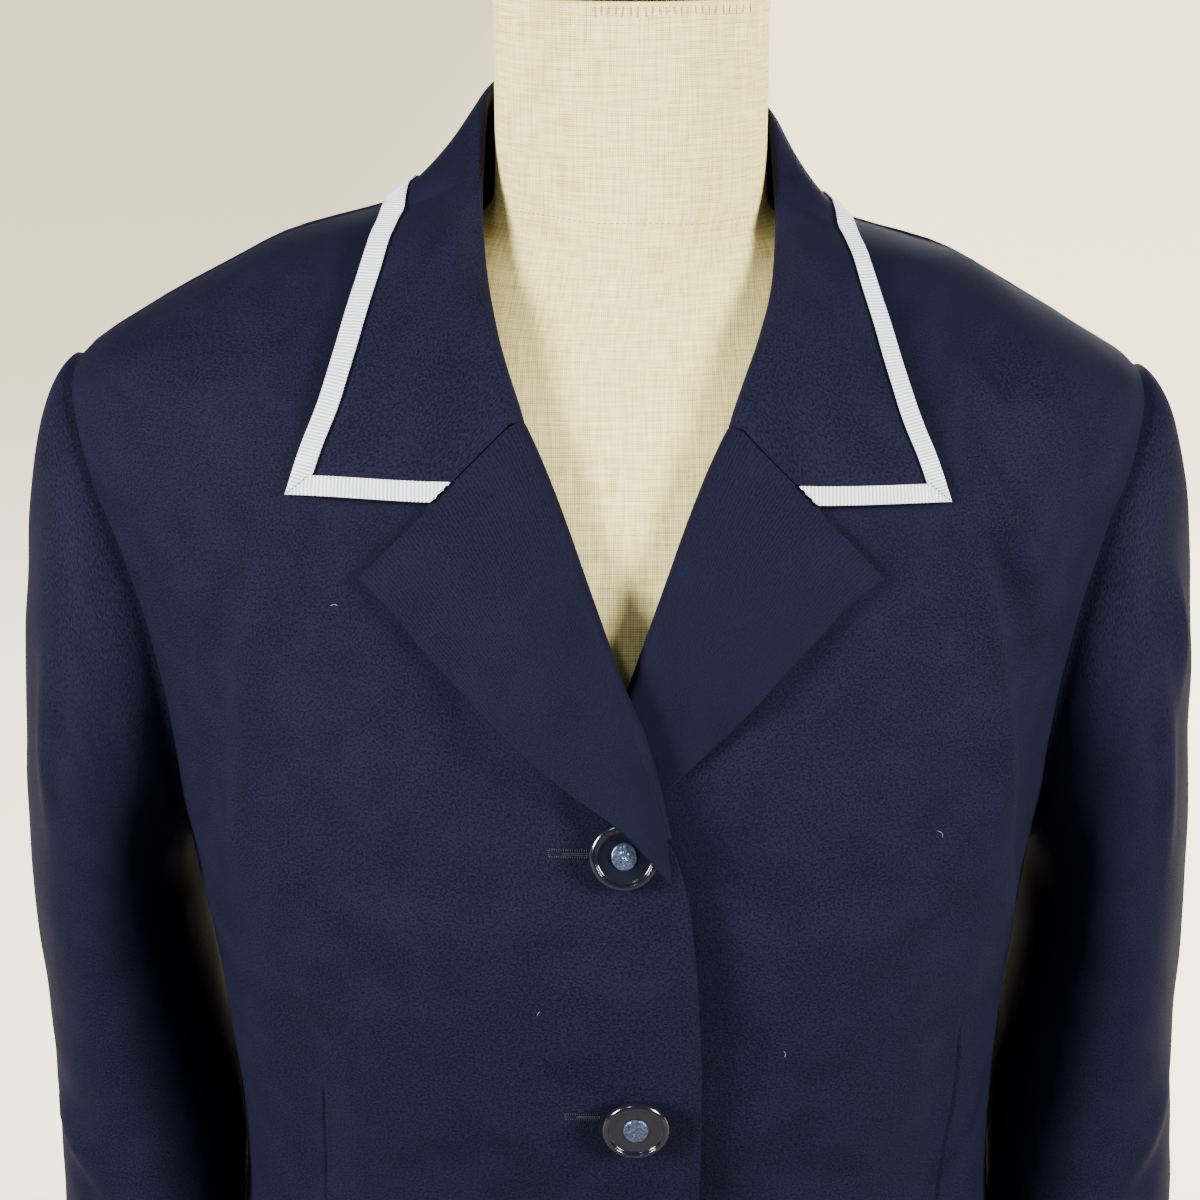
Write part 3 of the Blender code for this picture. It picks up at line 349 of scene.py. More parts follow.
# Darts of the fronts: line of the seam, as (x, height).
DARTS = {
    -1: ((-0.1180, -0.2640), (-0.1195, -0.2850), (-0.1190, -0.4300)),
    1: ((0.1340, -0.2447), (0.1350, -0.2607), (0.1340, -0.2846), (0.1310, -0.3300), (0.1290, -0.4300)),
}
DART_TIP = 0.0020
DART_END = (-0.430, -0.380)
DART_WIDTH = 0.0008
DART_DEPTH = 0.0013
DART_SWELL = 0.0005
DART_SWELL_WIDTH = 0.0035
DART_SPREAD = 0.0045        # half the width of the strip of fine columns round a dart
CAMERA_FIELD = 30.0         # degrees, as is the tilt
CAMERA_TILT = 72.0
CAMERA_PLACE = (-0.008, -0.881, TIP_HEIGHT + 0.186)
WINDOW_COLOR = (1.0, 0.97, 0.90)
FLOOR_HALF = 30.0


def table_reader(columns, rows):
    """A function that gives a smooth value of a named column between a table's rows."""
    rows = np.array(sorted(rows))
    knots = rows[:, 0]
    spans = np.diff(knots)
    curves = {}
    for number, name in enumerate(columns[1:], start=1):
        values = rows[:, number]
        steps = np.diff(values) / spans
        product = steps[:-1] * steps[1:]
        total = np.where(product > 0.0, steps[:-1] + steps[1:], 1.0)
        inner = np.where(product > 0.0, 2.0 * product / total, 0.0)
        curves[name] = (values, np.concatenate([steps[:1], inner, steps[-1:]]))

    def read(name, key):
        values, tangents = curves[name]
        key = np.clip(key, knots[0], knots[-1])
        i = np.clip(np.searchsorted(knots, key) - 1, 0, len(knots) - 2)
        span = spans[i]
        s = (key - knots[i]) / span
        low = (2 * s ** 3 - 3 * s ** 2 + 1) * values[i] + (s ** 3 - 2 * s ** 2 + s) * span * tangents[i]
        high = (3 * s ** 2 - 2 * s ** 3) * values[i + 1] + (s ** 3 - s ** 2) * span * tangents[i + 1]
        return low + high

    return read


body = table_reader(BODY_COLUMNS, BODY_ROWS)
front_edge = table_reader(FRONT_EDGE_COLUMNS, FRONT_EDGE_ROWS)
collar = table_reader(COLLAR_COLUMNS, COLLAR_ROWS)
lapel = table_reader(LAPEL_COLUMNS, LAPEL_ROWS)
sleeve = table_reader(SLEEVE_COLUMNS, SLEEVE_ROWS)
form = table_reader(FORM_COLUMNS, FORM_ROWS)


def mix(a, b, share):
    return a + (b - a) * share


def smooth_step(low, high, value):
    share = np.clip((value - low) / (high - low), 0.0, 1.0)
    return share * share * (3.0 - 2.0 * share)


def window(low, full, fading, high, value):
    """1 between full and fading, 0 below low and above high."""
    return smooth_step(low, full, value) * (1.0 - smooth_step(fading, high, value))


def even(count, low=0.0, high=1.0):
    return np.linspace(low, high, count)


def point_array(x, y, z):
    return np.stack(np.broadcast_arrays(x, y, z), axis=-1).astype(float)


def wide(values):
    """Numbers made ready to multiply points."""
    return np.asarray(values)[..., None]


def unit(vectors):
    return vectors / np.maximum(np.linalg.norm(vectors, axis=-1, keepdims=True), 1e-12)


def dot(a, b):
    return (a * b).sum(axis=-1)


def without(vectors, direction):
    """What is left of vectors once their part along a unit direction is taken out."""
    return vectors - direction * wide(dot(vectors, direction))


def signed_power(value, exponent):
    return np.copysign(np.abs(value) ** exponent, value)


def body_level(points):
    """0 on the jacket's outer face, negative inside it."""
    x, y, z = points[..., 0], points[..., 1], points[..., 2]
    side_y = body("side_y", z)
    forward = y < side_y
    depth = np.where(forward, body("front", z) + side_y, body("back", z) - side_y)
    power = np.where(forward, FRONT_POWER, BACK_POWER)
    across = np.abs(x) / body("half_width", z)
    along = np.abs(y - side_y) / depth
    return (across ** power + along ** power) ** (1.0 / power) - 1.0


def body_gradient(points):
    parts = []
    for axis in np.eye(3) * GRADIENT_STEP:
        parts.append((body_level(points + axis) - body_level(points - axis)) / (2.0 * GRADIENT_STEP))
    return np.stack(parts, axis=-1)


def body_normal(points):
    return unit(body_gradient(points))


def height_off_body(points):
    return body_level(points) / np.linalg.norm(body_gradient(points), axis=-1)


def off_body(points, height):
    """The points moved square to the jacket's face until they stand this high above it."""
    for _ in range(4):
        gradient = body_gradient(points)
        distance = body_level(points) / np.linalg.norm(gradient, axis=-1)
        points = points + unit(gradient) * wide(height - distance)
    return points


def ridge(across, height, line, fade_ends):
    """Height of one soft ridge over a flat plan of two coordinates."""
    x0, z0, x1, z1, width, rise, *turn_under = line
    run_x, run_z = x1 - x0, z1 - z0
    share = ((across - x0) * run_x + (height - z0) * run_z) / (run_x ** 2 + run_z ** 2)
    share = np.clip(share, 0.0, 1.0)
    aside = across - x0 - run_x * share
    apart = np.hypot(aside, height - z0 - run_z * share)
    if turn_under:
        width = np.where(aside * x0 > 0.0, width * turn_under[0], width)
    if fade_ends:
        fade = np.sin(math.pi * mix(0.06, 0.94, share))
    else:
        fade = 0.35 + 0.65 * np.sin(math.pi * mix(0.12, 0.88, share))
    return rise * fade * np.exp(-(apart / width) ** 2)


def fold_rise(points, with_creases=True):
    """Rise of the soft folds at points of the jacket's face."""
    x, z = points[..., 0], points[..., 2]
    on_front = points[..., 1] < body("side_y", z)
    total = np.zeros(x.shape)
    for table, fade_ends in ((FOLDS, False), (CREASES if with_creases else (), True)):
        depth = CREASE_DEPTH if fade_ends else FOLD_DEPTH
        for face, *line in table:
            here = on_front if face == "front" else ~on_front
            total += np.where(here, depth * ridge(x, z, line, fade_ends), 0.0)
    return total


def waver(points, seed, size=0.00022):
    """The slight unevenness of worn cloth."""
    random = np.random.default_rng(seed)
    total = np.zeros(points.shape[:-1])
    for _ in range(9):
        direction = unit(random.normal(size=3))
        length = random.uniform(0.022, 0.080)
        phase = random.uniform(0.0, 2.0 * math.pi)
        total += np.sin(points @ direction * (2.0 * math.pi / length) + phase)
    return total * size / 2.0


def panel_lift(side, points):
    """How far the right front stands above the left one, on which it closes."""
    if side > 0:
        return np.zeros(points.shape[:-1])
    lift = mix(OVERLAP_LIFT, CROSS_LIFT, smooth_step(*CROSS_HEIGHTS, points[..., 2]))
    across = smooth_step(*OVERLAP_X, points[..., 0])
    down = smooth_step(0.0, 1.0, (OVERLAP_TOP - points[..., 2]) / OVERLAP_FADE)
    return lift * across * down


def settled(points):
    """Points of the even jacket moved to where the jacket hangs."""
    x, y, z = points[..., 0], points[..., 1], points[..., 2]
    drop = LEFT_DROP * smooth_step(*LEFT_DROP_X, x) * smooth_step(*LEFT_DROP_HEIGHTS, z)
    aside = SHOULDER_SHIFT * smooth_step(*SHOULDER_SHIFT_X, np.abs(x))
    aside = aside * smooth_step(*SHOULDER_SHIFT_HEIGHTS, z)
    behind = smooth_step(*BACK_DROP_Y, y) * window(*BACK_DROP_HEIGHTS, z)
    return point_array(x - aside, y, z - drop - BACK_DROP * behind)


def face_power(face):
    return FRONT_POWER if face == "front" else BACK_POWER


def face_depth(face, height):
    """Depth of a face from the line of the side seams."""
    side_y = body("side_y", height)
    return body("front", height) + side_y if face == "front" else body("back", height) - side_y


def ring_point(side, face, turn, height):
    """Points of a body ring; turn runs from 0 at the middle to a right angle at the side."""
    power = face_power(face)
    ahead = -1 if face == "front" else 1
    across = signed_power(np.sin(turn), 2.0 / power)
    along = np.maximum(np.cos(turn), 0.0) ** (2.0 / power)
    y = body("side_y", height) + ahead * face_depth(face, height) * along
    return point_array(side * body("half_width", height) * across, y, height)


def turn_at_x(face, x, height):
    share = np.minimum(np.abs(x) / body("half_width", height), 1.0)
    return np.copysign(np.arcsin(share ** (face_power(face) / 2.0)), x)


def on_ring(x, height, face="front"):
    """The point of the jacket's even face at this x and height."""
    return ring_point(1, face, turn_at_x(face, x, height), height)


def armhole_angle(height):
    return np.arccos(np.clip((height - ARMHOLE_MIDDLE) / ARMHOLE_HALF, -1.0, 1.0))


def armhole_y(face, angle):
    reach = ARMHOLE_FRONT if face == "front" else ARMHOLE_BACK
    return reach * np.sin(angle) * (1.0 - 0.15 * np.cos(angle))


def turn_at_armhole(face, height):
    """Where a panel stops: at the side seam, the shoulder seam or the armhole."""
    height = np.asarray(height, dtype=float)
    share = np.clip(armhole_y(face, armhole_angle(height)) / face_depth(face, height), 0.0, 1.0)
    turn = np.arccos(share ** (face_power(face) / 2.0))
    return np.where((height >= SHOULDER_TIP) | (height <= UNDERARM), math.pi / 2.0, turn)


def armhole_point(side, angle):
    """The armhole's edge; the angle runs from 0 at the shoulder tip, down the front, up the back."""
    height = ARMHOLE_MIDDLE + ARMHOLE_HALF * np.cos(angle)
    front, back = (ring_point(side, face, turn_at_armhole(face, height), height)
                   for face in ("front", "back"))
    return np.where(wide(np.sin(angle) >= 0.0), front, back)


def panel_rows(shoulder_pieces, arm_pieces, lower_pieces):
    """Heights of a panel's rows: close together where the armhole's edge runs flat."""
    keys = np.arange(len(SHOULDER_HEIGHTS))
    shoulder = np.interp(even(shoulder_pieces + 1, 0, len(keys) - 1), keys, SHOULDER_HEIGHTS)
    arm = ARMHOLE_MIDDLE + ARMHOLE_HALF * np.cos(math.pi * even(arm_pieces + 1))
    lower = even(lower_pieces + 1, UNDERARM, HEM)
    return np.concatenate([shoulder[:-1], arm[:-1], lower])


def dart_x(side, height):
    dart = np.array(sorted((z, x) for x, z in DARTS[side]))
    return np.interp(height, dart[:, 0], dart[:, 1])


def front_rise(side, points):
    """Everything that raises a front's face: folds, creases, the overlap and the dart's seam."""
    height = points[..., 2]
    apart = np.abs(points[..., 0] - dart_x(side, height))
    below_top = smooth_step(-DART_TIP, DART_TIP, DARTS[side][0][1] - height)
    within = below_top * smooth_step(*DART_END, height)
    swell = DART_SWELL * np.exp(-(apart / DART_SWELL_WIDTH) ** 2)
    groove = DART_DEPTH * np.exp(-(apart / DART_WIDTH) ** 2)
    rise = fold_rise(points) + panel_lift(side, points) + waver(points, FRONT_SEED + side)
    return rise + within * (swell - groove)


def face_point(side, x, height, above=0.0):
    """A point this high above the dressed face of a front, where the cloth hangs."""
    points = on_ring(np.asarray(x, dtype=float), np.asarray(height, dtype=float))
    return settled(off_body(points, front_rise(side, points) + above))


def link(name, data):
    """A new object of the scene."""
    result = bpy.data.objects.new(name, data)
    bpy.context.scene.collection.objects.link(result)
    return result


def mesh_object(name, points, faces, surface, uvs=None):
    """A mesh with smooth shading, raised to the shoulder tips' level."""
    points = np.asarray(points, dtype=float).reshape(-1, 3) + (0.0, 0.0, TIP_HEIGHT)
    mesh = bpy.data.meshes.new(name)
    mesh.from_pydata(points.tolist(), [], [tuple(int(i) for i in face) for face in faces])
    mesh.shade_smooth()
    if uvs is not None:
        layer = mesh.uv_layers.new(name="cloth")
        corners = np.empty(len(mesh.loops), dtype=np.int64)
        mesh.loops.foreach_get("vertex_index", corners)
        layer.data.foreach_set("uv", np.asarray(uvs)[corners].astype(np.float32).ravel())
    mesh.materials.append(surface)
    return link(name, mesh)


def grid_faces(rows, columns, start=0, turned=False, closed=False):
    """Four corners for each cell of a grid; a closed one joins its last column to its first."""
    across = columns if closed else columns - 1
    i, j = np.meshgrid(np.arange(rows - 1), np.arange(across), indexing="ij")
    here, after = i * columns, (i + 1) * columns
    right = (j + 1) % columns
    quads = np.stack([here + j, here + right, after + right, after + j], axis=-1).reshape(-1, 4) + start
    return quads[:, ::-1] if turned else quads


def grid_normals(points):
    return unit(np.cross(np.gradient(points, axis=0), np.gradient(points, axis=1)))


def boundary(rows, columns):
    """Indices of a grid's outline, in order."""
    top = [(0, j) for j in range(columns - 1)]
    right = [(i, columns - 1) for i in range(rows - 1)]
    bottom = [(rows - 1, j) for j in range(columns - 1, 0, -1)]
    left = [(i, 0) for i in range(rows - 1, 0, -1)]
    return np.array(top + right + bottom + left)


def run_length(path):
    """Distance from a path's start to each of its points."""
    return np.concatenate([[0.0], np.cumsum(np.linalg.norm(np.diff(path, axis=0), axis=-1))])


def metric_uv(points):
    """Metres along and across the cloth, for its weave."""
    across = np.linalg.norm(np.diff(points, axis=1), axis=-1).mean(axis=0)
    along = np.linalg.norm(np.diff(points, axis=0), axis=-1).mean(axis=1)
    u = np.concatenate([[0.0], np.cumsum(across)])
    v = np.concatenate([[0.0], np.cumsum(along)])
    return np.stack(np.meshgrid(u, -v), axis=-1)


def shell(name, points, surface, outward, thickness=CLOTH_THICKNESS, uv=None):
    """A piece of cloth with rounded edges, from the grid of its outer face."""
    rows, columns = points.shape[:2]
    normals = grid_normals(points)
    turned = dot(normals[rows * 2 // 3, columns // 2], outward) < 0.0
    if turned:
        normals = -normals
    radius = min(RIM_RADIUS, thickness * 0.4)
    loop = boundary(rows, columns)
    r, c = loop[:, 0], loop[:, 1]
    edge = points[r, c] - points[np.clip(r, 1, rows - 2), np.clip(c, 1, columns - 2)]
    edge = unit(without(edge, normals[r, c]))
    outer = points.copy()
    outer[r, c] = points[r, c] - edge * radius
    inner = outer - normals * thickness
    layers = [outer.reshape(-1, 3), inner.reshape(-1, 3)]
    uv = (metric_uv(points) if uv is None else uv).reshape(-1, 2)
    uvs = [uv, uv]
    flat = r * columns + c
    rings = [flat]
    start = 2 * rows * columns
    rim = [(math.radians(angle), -radius) for angle in RIM_ANGLES]
    rim += [(math.radians(180 - angle), radius - thickness) for angle in RIM_ANGLES[::-1]]
    for turn, level in rim:
        out, up = radius * math.sin(turn), radius * math.cos(turn) + level
        layers.append(outer[r, c] + edge * out + normals[r, c] * up)
        uvs.append(uv[flat])
        rings.append(np.arange(len(flat)) + start)
        start += len(flat)
    rings.append(flat + rows * columns)
    faces = [grid_faces(rows, columns, 0, not turned),
             grid_faces(rows, columns, rows * columns, turned)]
    for upper, lower in zip(rings, rings[1:]):
        strip = np.stack([upper, np.roll(upper, -1), np.roll(lower, -1), lower], axis=-1)
        faces.append(strip[:, ::-1] if turned else strip)
    layers, faces, uvs = (np.concatenate(parts) for parts in (layers, faces, uvs))
    return mesh_object(name, layers, faces, surface, uvs)


def end_fans(count, segments):
    """Triangles from the two end points, numbered count and count + 1, to the first and last rings."""
    faces = []
    low = count - segments
    for j in range(segments):
        after = (j + 1) % segments
        faces.append((count, j, after))
        faces.append((count + 1, low + after, low + j))
    return faces


def lathe(name, profile, segments, surface, origin=(0.0, 0.0, 0.0), axis=(0.0, 0.0, 1.0)):
    """A turned solid: its profile runs from the axis at the top, out and down, back to the axis."""
    profile = np.array(profile)
    rings = profile[1:-1]
    angle = 2.0 * math.pi * np.arange(segments) / segments
    axis = unit(np.array(axis, dtype=float))
    side = unit(np.cross(axis, (0.0, 1.0, 0.0) if abs(axis[1]) < 0.9 else (1.0, 0.0, 0.0)))
    ahead = np.cross(axis, side)
    spokes = wide(np.cos(angle)) * side + wide(np.sin(angle)) * ahead
    points = rings[:, None, :1] * spokes[None] + rings[:, None, 1:] * axis
    ends = profile[[0, -1], 1][:, None] * axis
    points = np.concatenate([points.reshape(-1, 3), ends]) + np.array(origin)
    faces = list(grid_faces(len(rings), segments, turned=True, closed=True))
    faces += end_fans(len(rings) * segments, segments)
    result = mesh_object(name, points, faces, surface)
    result.data.set_sharp_from_angle(angle=math.radians(50))
    return result


def rounded(profile, radius, steps=4):
    """A profile with its corners rounded."""
    result = [profile[0]]
    for before, here, after in zip(profile, profile[1:], profile[2:]):
        before, here, after = (np.array(p, dtype=float) for p in (before, here, after))
        reach_in = min(radius, np.linalg.norm(here - before) * 0.45)
        reach_out = min(radius, np.linalg.norm(after - here) * 0.45)
        start = here + unit(before - here) * reach_in
        end = here + unit(after - here) * reach_out
        for share in even(steps + 1):
            result.append(tuple(mix(mix(start, here, share), mix(here, end, share), share)))
    result.append(profile[-1])
    return result


def add_node(tree, kind, inputs=(), **settings):
    """A shader node with its settings and inputs; an input is a value or another node's output."""
    node = tree.nodes.new(kind)
    for key, value in settings.items():
        setattr(node, key, value)
    for key, value in dict(inputs).items():
        if isinstance(value, bpy.types.NodeSocket):
            tree.links.new(value, node.inputs[key])
        else:
            node.inputs[key].default_value = value
    return node


def new_material(name, values):
    """A material, its node tree and its shader, with these values set on the shader."""
    material = bpy.data.materials.new(name)
    material.use_nodes = True
    shader = material.node_tree.nodes["Principled BSDF"]
    for key, value in values.items():
        shader.inputs[key].default_value = value
    return material, material.node_tree, shader


def bands(tree, place, pitch, direction, distortion=0.0):
    """Stripes this far apart, from 0 to 1."""
    return add_node(tree, "ShaderNodeTexWave", {
        "Vector": place, "Scale": math.pi / (10.0 * pitch), "Distortion": distortion,
        "Detail": 1.0, "Detail Scale": 2.0,
    }, bands_direction=direction).outputs["Fac"]


def noise(tree, place, size, detail=2.0):
    """Spots about this large, from 0 to 1."""
    return add_node(tree, "ShaderNodeTexNoise", {
        "Vector": place, "Scale": 1.0 / size, "Detail": detail,
    }).outputs[0]


def math_node(tree, operation, *values):
    return add_node(tree, "ShaderNodeMath", dict(enumerate(values)), operation=operation).outputs[0]


def texture_place(tree, kind):
    return add_node(tree, "ShaderNodeTexCoord").outputs[kind]


def set_color(tree, shader, dark, light, factor, low=0.25, high=0.75):
    """The shader's colour runs from dark to light while the factor runs from low to high."""
    ramp = add_node(tree, "ShaderNodeValToRGB", {0: factor})
    for stop, place, color in zip(ramp.color_ramp.elements, (low, high), (dark, light)):
        stop.position = place
        stop.color = (*color, 1.0)
    tree.links.new(ramp.outputs[0], shader.inputs["Base Color"])


def set_relief(tree, shader, strength, distance, height):
    """The surface's relief, from a height of 0 to 1 over this distance."""
    bump = add_node(tree, "ShaderNodeBump", {
        "Strength": strength, "Distance": distance, "Height": height,
    })
    tree.links.new(bump.outputs[0], shader.inputs["Normal"])


def cloth_material(name, dark, light, grain, twill=None, bump=0.35):
    """Fine woven wool-like cloth: threads, a pebbled grain and, on the lapels, a twill line."""
    material, tree, shader = new_material(name, {
        "Roughness": 0.78, "Specular IOR Level": 0.06, "Sheen Weight": 0.01, "Sheen Roughness": 0.45,
        "Sheen Tint": (0.55, 0.60, 0.90, 1.0),
    })
    place = texture_place(tree, "UV")
    weft = bands(tree, place, 0.00050, "Y", 0.6)
    warp = bands(tree, place, 0.00045, "X", 0.6)
    threads = math_node(tree, "MULTIPLY", warp, weft)
    spots = noise(tree, place, grain)
    relief = math_node(tree, "MULTIPLY_ADD", threads, 0.35, spots)
    tone = spots
    if twill:
        line = bands(tree, place, twill, "X", 0.25)
        relief = math_node(tree, "MULTIPLY_ADD", line, 0.6, relief)
        tone = math_node(tree, "MULTIPLY_ADD", line, 0.18, math_node(tree, "MULTIPLY", spots, 0.9))
    soft = noise(tree, place, 0.020, 3.0)
    tone = math_node(tree, "MULTIPLY_ADD", soft, 0.25, math_node(tree, "SUBTRACT", tone, 0.12))
    set_color(tree, shader, dark, light, tone, 0.36, 0.64)
    set_relief(tree, shader, bump, 0.00025, relief)
    return material


def linen_material(name):
    """Plain-woven natural linen with uneven threads."""
    material, tree, shader = new_material(name, {"Roughness": 0.88, "Specular IOR Level": 0.2})
    place = texture_place(tree, "UV")
    slubs = []
    for scale in ((1.0, 0.06, 1.0), (0.06, 1.0, 1.0)):
        stretched = add_node(tree, "ShaderNodeMapping", {"Vector": place, "Scale": scale}).outputs[0]
        slubs.append(noise(tree, stretched, 0.0011, 3.0))
    slubs = math_node(tree, "ADD", *slubs)
    warp = bands(tree, place, 0.00078, "X", 0.8)
    weft = bands(tree, place, 0.00084, "Y", 0.8)
    weave = math_node(tree, "MULTIPLY", warp, weft)
    tone = math_node(tree, "MULTIPLY_ADD", weave, 0.35, math_node(tree, "MULTIPLY", slubs, 0.45))
    set_color(tree, shader, (0.44, 0.33, 0.12), (0.92, 0.80, 0.36), tone, 0.34, 0.62)
    set_relief(tree, shader, 0.45, 0.0003, math_node(tree, "MULTIPLY_ADD", slubs, 0.5, weave))
    return material


def plain_material(name, color, roughness, grain, variation=0.15, bump=0.05, **values):
    """A smooth finish with slight unevenness of colour and polish."""
    material, tree, shader = new_material(name, {
        "Roughness": roughness,
        **{key.replace("_", " ").title(): value for key, value in values.items()},
    })
    spots = noise(tree, texture_place(tree, "Object"), grain, 3.0)
    dark = [channel * (1.0 - variation) for channel in color]
    light = [min(channel * (1.0 + variation), 1.0) for channel in color]
    set_color(tree, shader, dark, light, spots)
    rough = add_node(tree, "ShaderNodeMapRange", {
        "Value": spots, "To Min": roughness * 0.85, "To Max": min(roughness * 1.2, 1.0),
    }).outputs[0]
    tree.links.new(rough, shader.inputs["Roughness"])
    set_relief(tree, shader, bump, 0.0002, spots)
    return material


def grosgrain_material(name):
    """White ribbon with painted shade along the grooves between its ribs; a rib is one unit of V."""
    material, tree, shader = new_material(name, {"Roughness": 0.5, "Specular IOR Level": 0.3})
    line = bands(tree, texture_place(tree, "UV"), 1.0, "Y")
    spots = noise(tree, texture_place(tree, "Object"), 0.0009)
    tone = math_node(tree, "MULTIPLY_ADD", spots, 0.3, math_node(tree, "MULTIPLY", line, 0.75))
    # The dark stop is painted shade, laid in the grooves between the ribs.
    set_color(tree, shader, (0.34, 0.37, 0.44), (0.80, 0.82, 0.86), tone)
    return material


crepe = cloth_material("navy crepe", (0.0019, 0.0021, 0.0078), (0.0066, 0.0067, 0.0215), 0.00085,
                       bump=0.65)
twill = cloth_material("navy twill", (0.0017, 0.0020, 0.0072), (0.0050, 0.0054, 0.0172), 0.00070,
                       twill=0.00095)
linen = linen_material("linen")
grosgrain = grosgrain_material("white grosgrain")
navy_thread = plain_material("navy thread", (0.0035, 0.004, 0.012), 0.55, grain=0.0004)
tan_thread = plain_material("tan thread", (0.30, 0.22, 0.12), 0.7, grain=0.0004)
lint = plain_material("lint", (0.35, 0.37, 0.45), 0.7, grain=0.0004)
button_gloss = plain_material("button gloss", (0.004, 0.0045, 0.010), 0.14, grain=0.004, bump=0.01,
                              coat_weight=0.5, coat_roughness=0.05)
nugget = plain_material("button nugget", (0.085, 0.115, 0.20), 0.30, grain=0.0007, variation=0.85,
                        bump=0.6, metallic=0.75)
cap_wood = plain_material("cap wood", (0.050, 0.030, 0.020), 0.40, grain=0.004, variation=0.35)
pole_metal = plain_material("pole metal", (0.58, 0.58, 0.60), 0.24, grain=0.003, variation=0.05,
                            metallic=1.0)
enamel = plain_material("base enamel", (0.020, 0.020, 0.023), 0.36, grain=0.0015, variation=0.2,
                        bump=0.12)


def finish_piece(piece, slot, *nodes):
    """The piece rides on the body and stands for these nodes, which it hides; its slot is not used."""
    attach(piece, "root")
    if nodes:
        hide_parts(*nodes)
    return piece


def strand(points, normals, radius, sides=6):
    """Points and faces of a thin thread along a line, with pointed ends."""
    count = len(points)
    tangents = unit(np.gradient(points, axis=0))
    side = unit(np.cross(tangents, normals))
    up = np.cross(side, tangents)
    angle = 2.0 * math.pi * np.arange(sides) / sides
    swell = np.sqrt(np.clip(1.0 - (even(count, -1.0, 1.0)) ** 4, 0.06, 1.0)) * radius
    ring = wide(np.cos(angle))[None] * side[:, None] + wide(np.sin(angle))[None] * up[:, None]
    vertices = points[:, None] + ring * swell[:, None, None]
    faces = list(grid_faces(count, sides, closed=True))
    faces.append(range(sides))
    faces.append(range(count * sides - 1, (count - 1) * sides - 1, -1))
    return vertices.reshape(-1, 3), faces


def strands(name, lines, surface):
    """One object of many threads; each line is (points, normals, radius)."""
    points, faces, start = [], [], 0
    for line in lines:
        vertices, sides = strand(*line)
        points.append(vertices)
        faces += [tuple(i + start for i in face) for face in sides]
        start += len(vertices)
    return mesh_object(name, np.concatenate(points), faces, surface)


def stitch_line(path, normals, pitch, length, radius, rise):
    """Short stitches along a path of many points, each dipping into the cloth at its ends."""
    run = run_length(path)
    result = []
    for start in np.arange(0.0, run[-1] - length, pitch):
        at = start + even(5, 0.0, length)
        points, out = (np.stack([np.interp(at, run, values[:, k]) for k in range(3)], axis=-1)
                       for values in (path, normals))
        points = points + out * wide(rise * np.sin(math.pi * even(5)) - radius * 0.4)
        result.append((points, out, radius))
    return result


def front_points(side):
    """The outer face of a front, with fine columns along its dart."""
    heights = panel_rows(*FRONT_GRID)[:, None]
    inner = turn_at_x("front", front_edge("reach", heights) + side * CENTRE_X, heights)
    outer = turn_at_armhole("front", heights) - SEAM_GAP / body("half_width", heights)
    inner = np.minimum(inner, outer - 0.01)
    at_dart = (turn_at_x("front", side * dart_x(side, heights), heights) - inner) / (outer - inner)
    at_dart = np.clip(at_dart, 0.35, 0.88)
    spread = DART_SPREAD / (outer - inner) / body("half_width", heights) * 1.4
    columns = even(FRONT_COLUMNS)
    shares = np.array([np.interp(columns, (0.0, 0.55, 0.75, 1.0), (0.0, at - width, at + width, 1.0))
                       for at, width in zip(at_dart[:, 0], spread[:, 0])])
    points = ring_point(side, "front", mix(inner, outer, shares), heights + 0.0 * shares)
    return settled(off_body(points, front_rise(side, points)))


def back_points(side):
    heights = panel_rows(*BACK_GRID)[:, None]
    shares = even(BACK_COLUMNS)[None]
    inner = turn_at_x("back", 0.00004, heights)
    outer = turn_at_armhole("back", heights) - SEAM_GAP / body("half_width", heights)
    points = ring_point(side, "back", mix(inner, outer, shares), heights + 0.0 * shares)
    return settled(off_body(points, fold_rise(points) + waver(points, BACK_SEED + side)))


def sleeve_middle(side, height):
    """Middle of a sleeve's ring."""
    return point_array(side * (sleeve("inner", height) + sleeve("outer", height)) / 2.0,
                       sleeve("middle_y", height), height)


def sleeve_ring(side, turn, height):
    across = signed_power(np.cos(turn), 2.0 / SLEEVE_POWER)
    along = signed_power(np.sin(turn), 2.0 / SLEEVE_POWER)
    half_width = (sleeve("outer", height) - sleeve("inner", height)) / 2.0
    reach = point_array(side * half_width * across, -sleeve("half_depth", height) * along, 0.0)
    return sleeve_middle(side, height) + reach


def sleeve_head(side, turn, share):
    """Between the armhole and the first full ring of the sleeve, on a cubic curve."""
    top = SLEEVE_ROWS[0][0]
    outward = (1.0 + np.cos(turn)) / 2.0
    start = armhole_point(side, turn) + np.array((side * 0.0022, 0.0, 0.0))
    end = sleeve_ring(side, turn, top)
    near = start + point_array(side * mix(0.002, 0.020, outward), -0.010 * np.sin(turn),
                               mix(-0.004, -0.007, outward))
    far = end + point_array(side * -0.002 * outward, 0.0, (start[..., 2] - top) * 0.52)
    share = wide(share)
    rest = 1.0 - share
    return (start * rest ** 3 + near * 3 * rest ** 2 * share + far * 3 * rest * share ** 2
            + end * share ** 3)


def sleeve_tuck(side, turn):
    """Rows of the sleeve's edge that lie hidden inside the armhole."""
    seam = armhole_point(side, turn)
    normals = body_normal(seam)
    ahead = armhole_point(side, turn + 0.02) - armhole_point(side, turn - 0.02)
    outward = unit(np.cross(normals, ahead))
    hole = np.array((side * 0.190, 0.0, ARMHOLE_MIDDLE))
    outward = np.where(wide(dot(outward, seam - hole) > 0.0), -outward, outward)
    return np.stack([seam + outward * reach + normals * level for reach, level in SEAM_TUCK])


